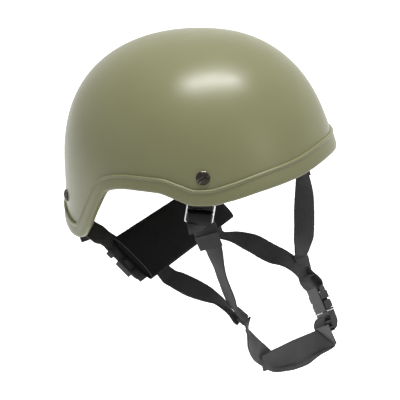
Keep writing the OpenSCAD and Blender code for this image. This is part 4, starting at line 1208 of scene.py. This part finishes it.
def build_lamps():
    for name, place, aim, width, height, power in LAMPS:
        light = bpy.data.lights.new(name, "AREA")
        light.shape = "RECTANGLE"
        light.size, light.size_y = width, height
        light.energy = power
        ob = linked(name, light)
        ob.location = place
        ob.rotation_euler = (Vector(aim) - Vector(place)).to_track_quat("-Z", "Y").to_euler()
        if name == "key":
            ob.rotation_euler = (0, 0, radians(KEY_TURN))


def seen_strength(tree, light, seen):
    """Strength for camera, glossy and transmission rays, and a lower one for light on the object."""
    path = tree.nodes.new("ShaderNodeLightPath")
    direct = path.outputs["Is Camera Ray"]
    for ray in ("Is Glossy Ray", "Is Transmission Ray"):
        either = tree.nodes.new("ShaderNodeMath")
        either.operation = "MAXIMUM"
        tree.links.new(direct, either.inputs[0])
        tree.links.new(path.outputs[ray], either.inputs[1])
        direct = either.outputs[0]
    level = tree.nodes.new("ShaderNodeMapRange")
    level.inputs["To Min"].default_value = light
    level.inputs["To Max"].default_value = seen
    tree.links.new(direct, level.inputs["Value"])
    return level.outputs["Result"]


def build_surroundings():
    """White world and a plain floor that keeps the object's shadow."""
    scene = bpy.context.scene
    scene.view_settings.view_transform = "Standard"
    world = bpy.data.worlds.new("studio")
    scene.world = world
    world.use_nodes = True
    tree = world.node_tree
    sky = next(n for n in tree.nodes if n.type == "BACKGROUND")
    sky.inputs["Color"].default_value = (1, 1, 1, 1)
    tree.links.new(seen_strength(tree, WORLD_LIGHT, WORLD_SEEN), sky.inputs["Strength"])
    s, z = FLOOR_HALF, FLOOR_Z
    me = bpy.data.meshes.new("floor")
    me.from_pydata([(-s, -s, z), (s, -s, z), (s, s, z), (-s, s, z)], [], [(0, 1, 2, 3)])
    n = Nodes("floor_white")
    me.materials.append(n.set(Base_Color=(1, 1, 1, 1), Roughness=0.9, Specular_IOR_Level=0.0,
                              Emission_Color=(1, 1, 1, 1),
                              Emission_Strength=seen_strength(n.tree, FLOOR_LIGHT, FLOOR_SEEN)))
    linked("floor", me)


def build_camera():
    """Camera at the photo's view."""
    th, el = radians(CAM_PLAN), radians(CAM_DROP)
    look = arr(cos(th) * cos(el), sin(th) * cos(el), -sin(el))
    right = arr(sin(th), -cos(th), 0)
    columns = (right, np.cross(right, look), -look, -look * CAM_FAR)
    cam = bpy.data.cameras.new("camera")
    cam.sensor_width = SENSOR_MM
    cam.lens = FOCAL_PX / FRAME_PX * SENSOR_MM
    cam.shift_x, cam.shift_y = [px / FRAME_PX for px in SHIFT_PX]
    cam.clip_start, cam.clip_end = 0.05, 30
    ob = linked("camera", cam)
    ob.matrix_world = Matrix([[c[row] for c in columns] for row in range(3)] + [[0, 0, 0, 1]])
    bpy.context.scene.camera = ob


for build in (build_shell, build_trim, build_screws, build_hangers, build_front_straps,
              build_rear_straps, build_side_straps, build_junctions, build_chin, build_loop,
              build_socket_cover, build_fold, build_sleeve, build_hardware, build_stitches,
              build_glides, build_insert, build_hooks, build_pads, build_crown_pad, build_lamps,
              build_surroundings, build_camera):
    build()
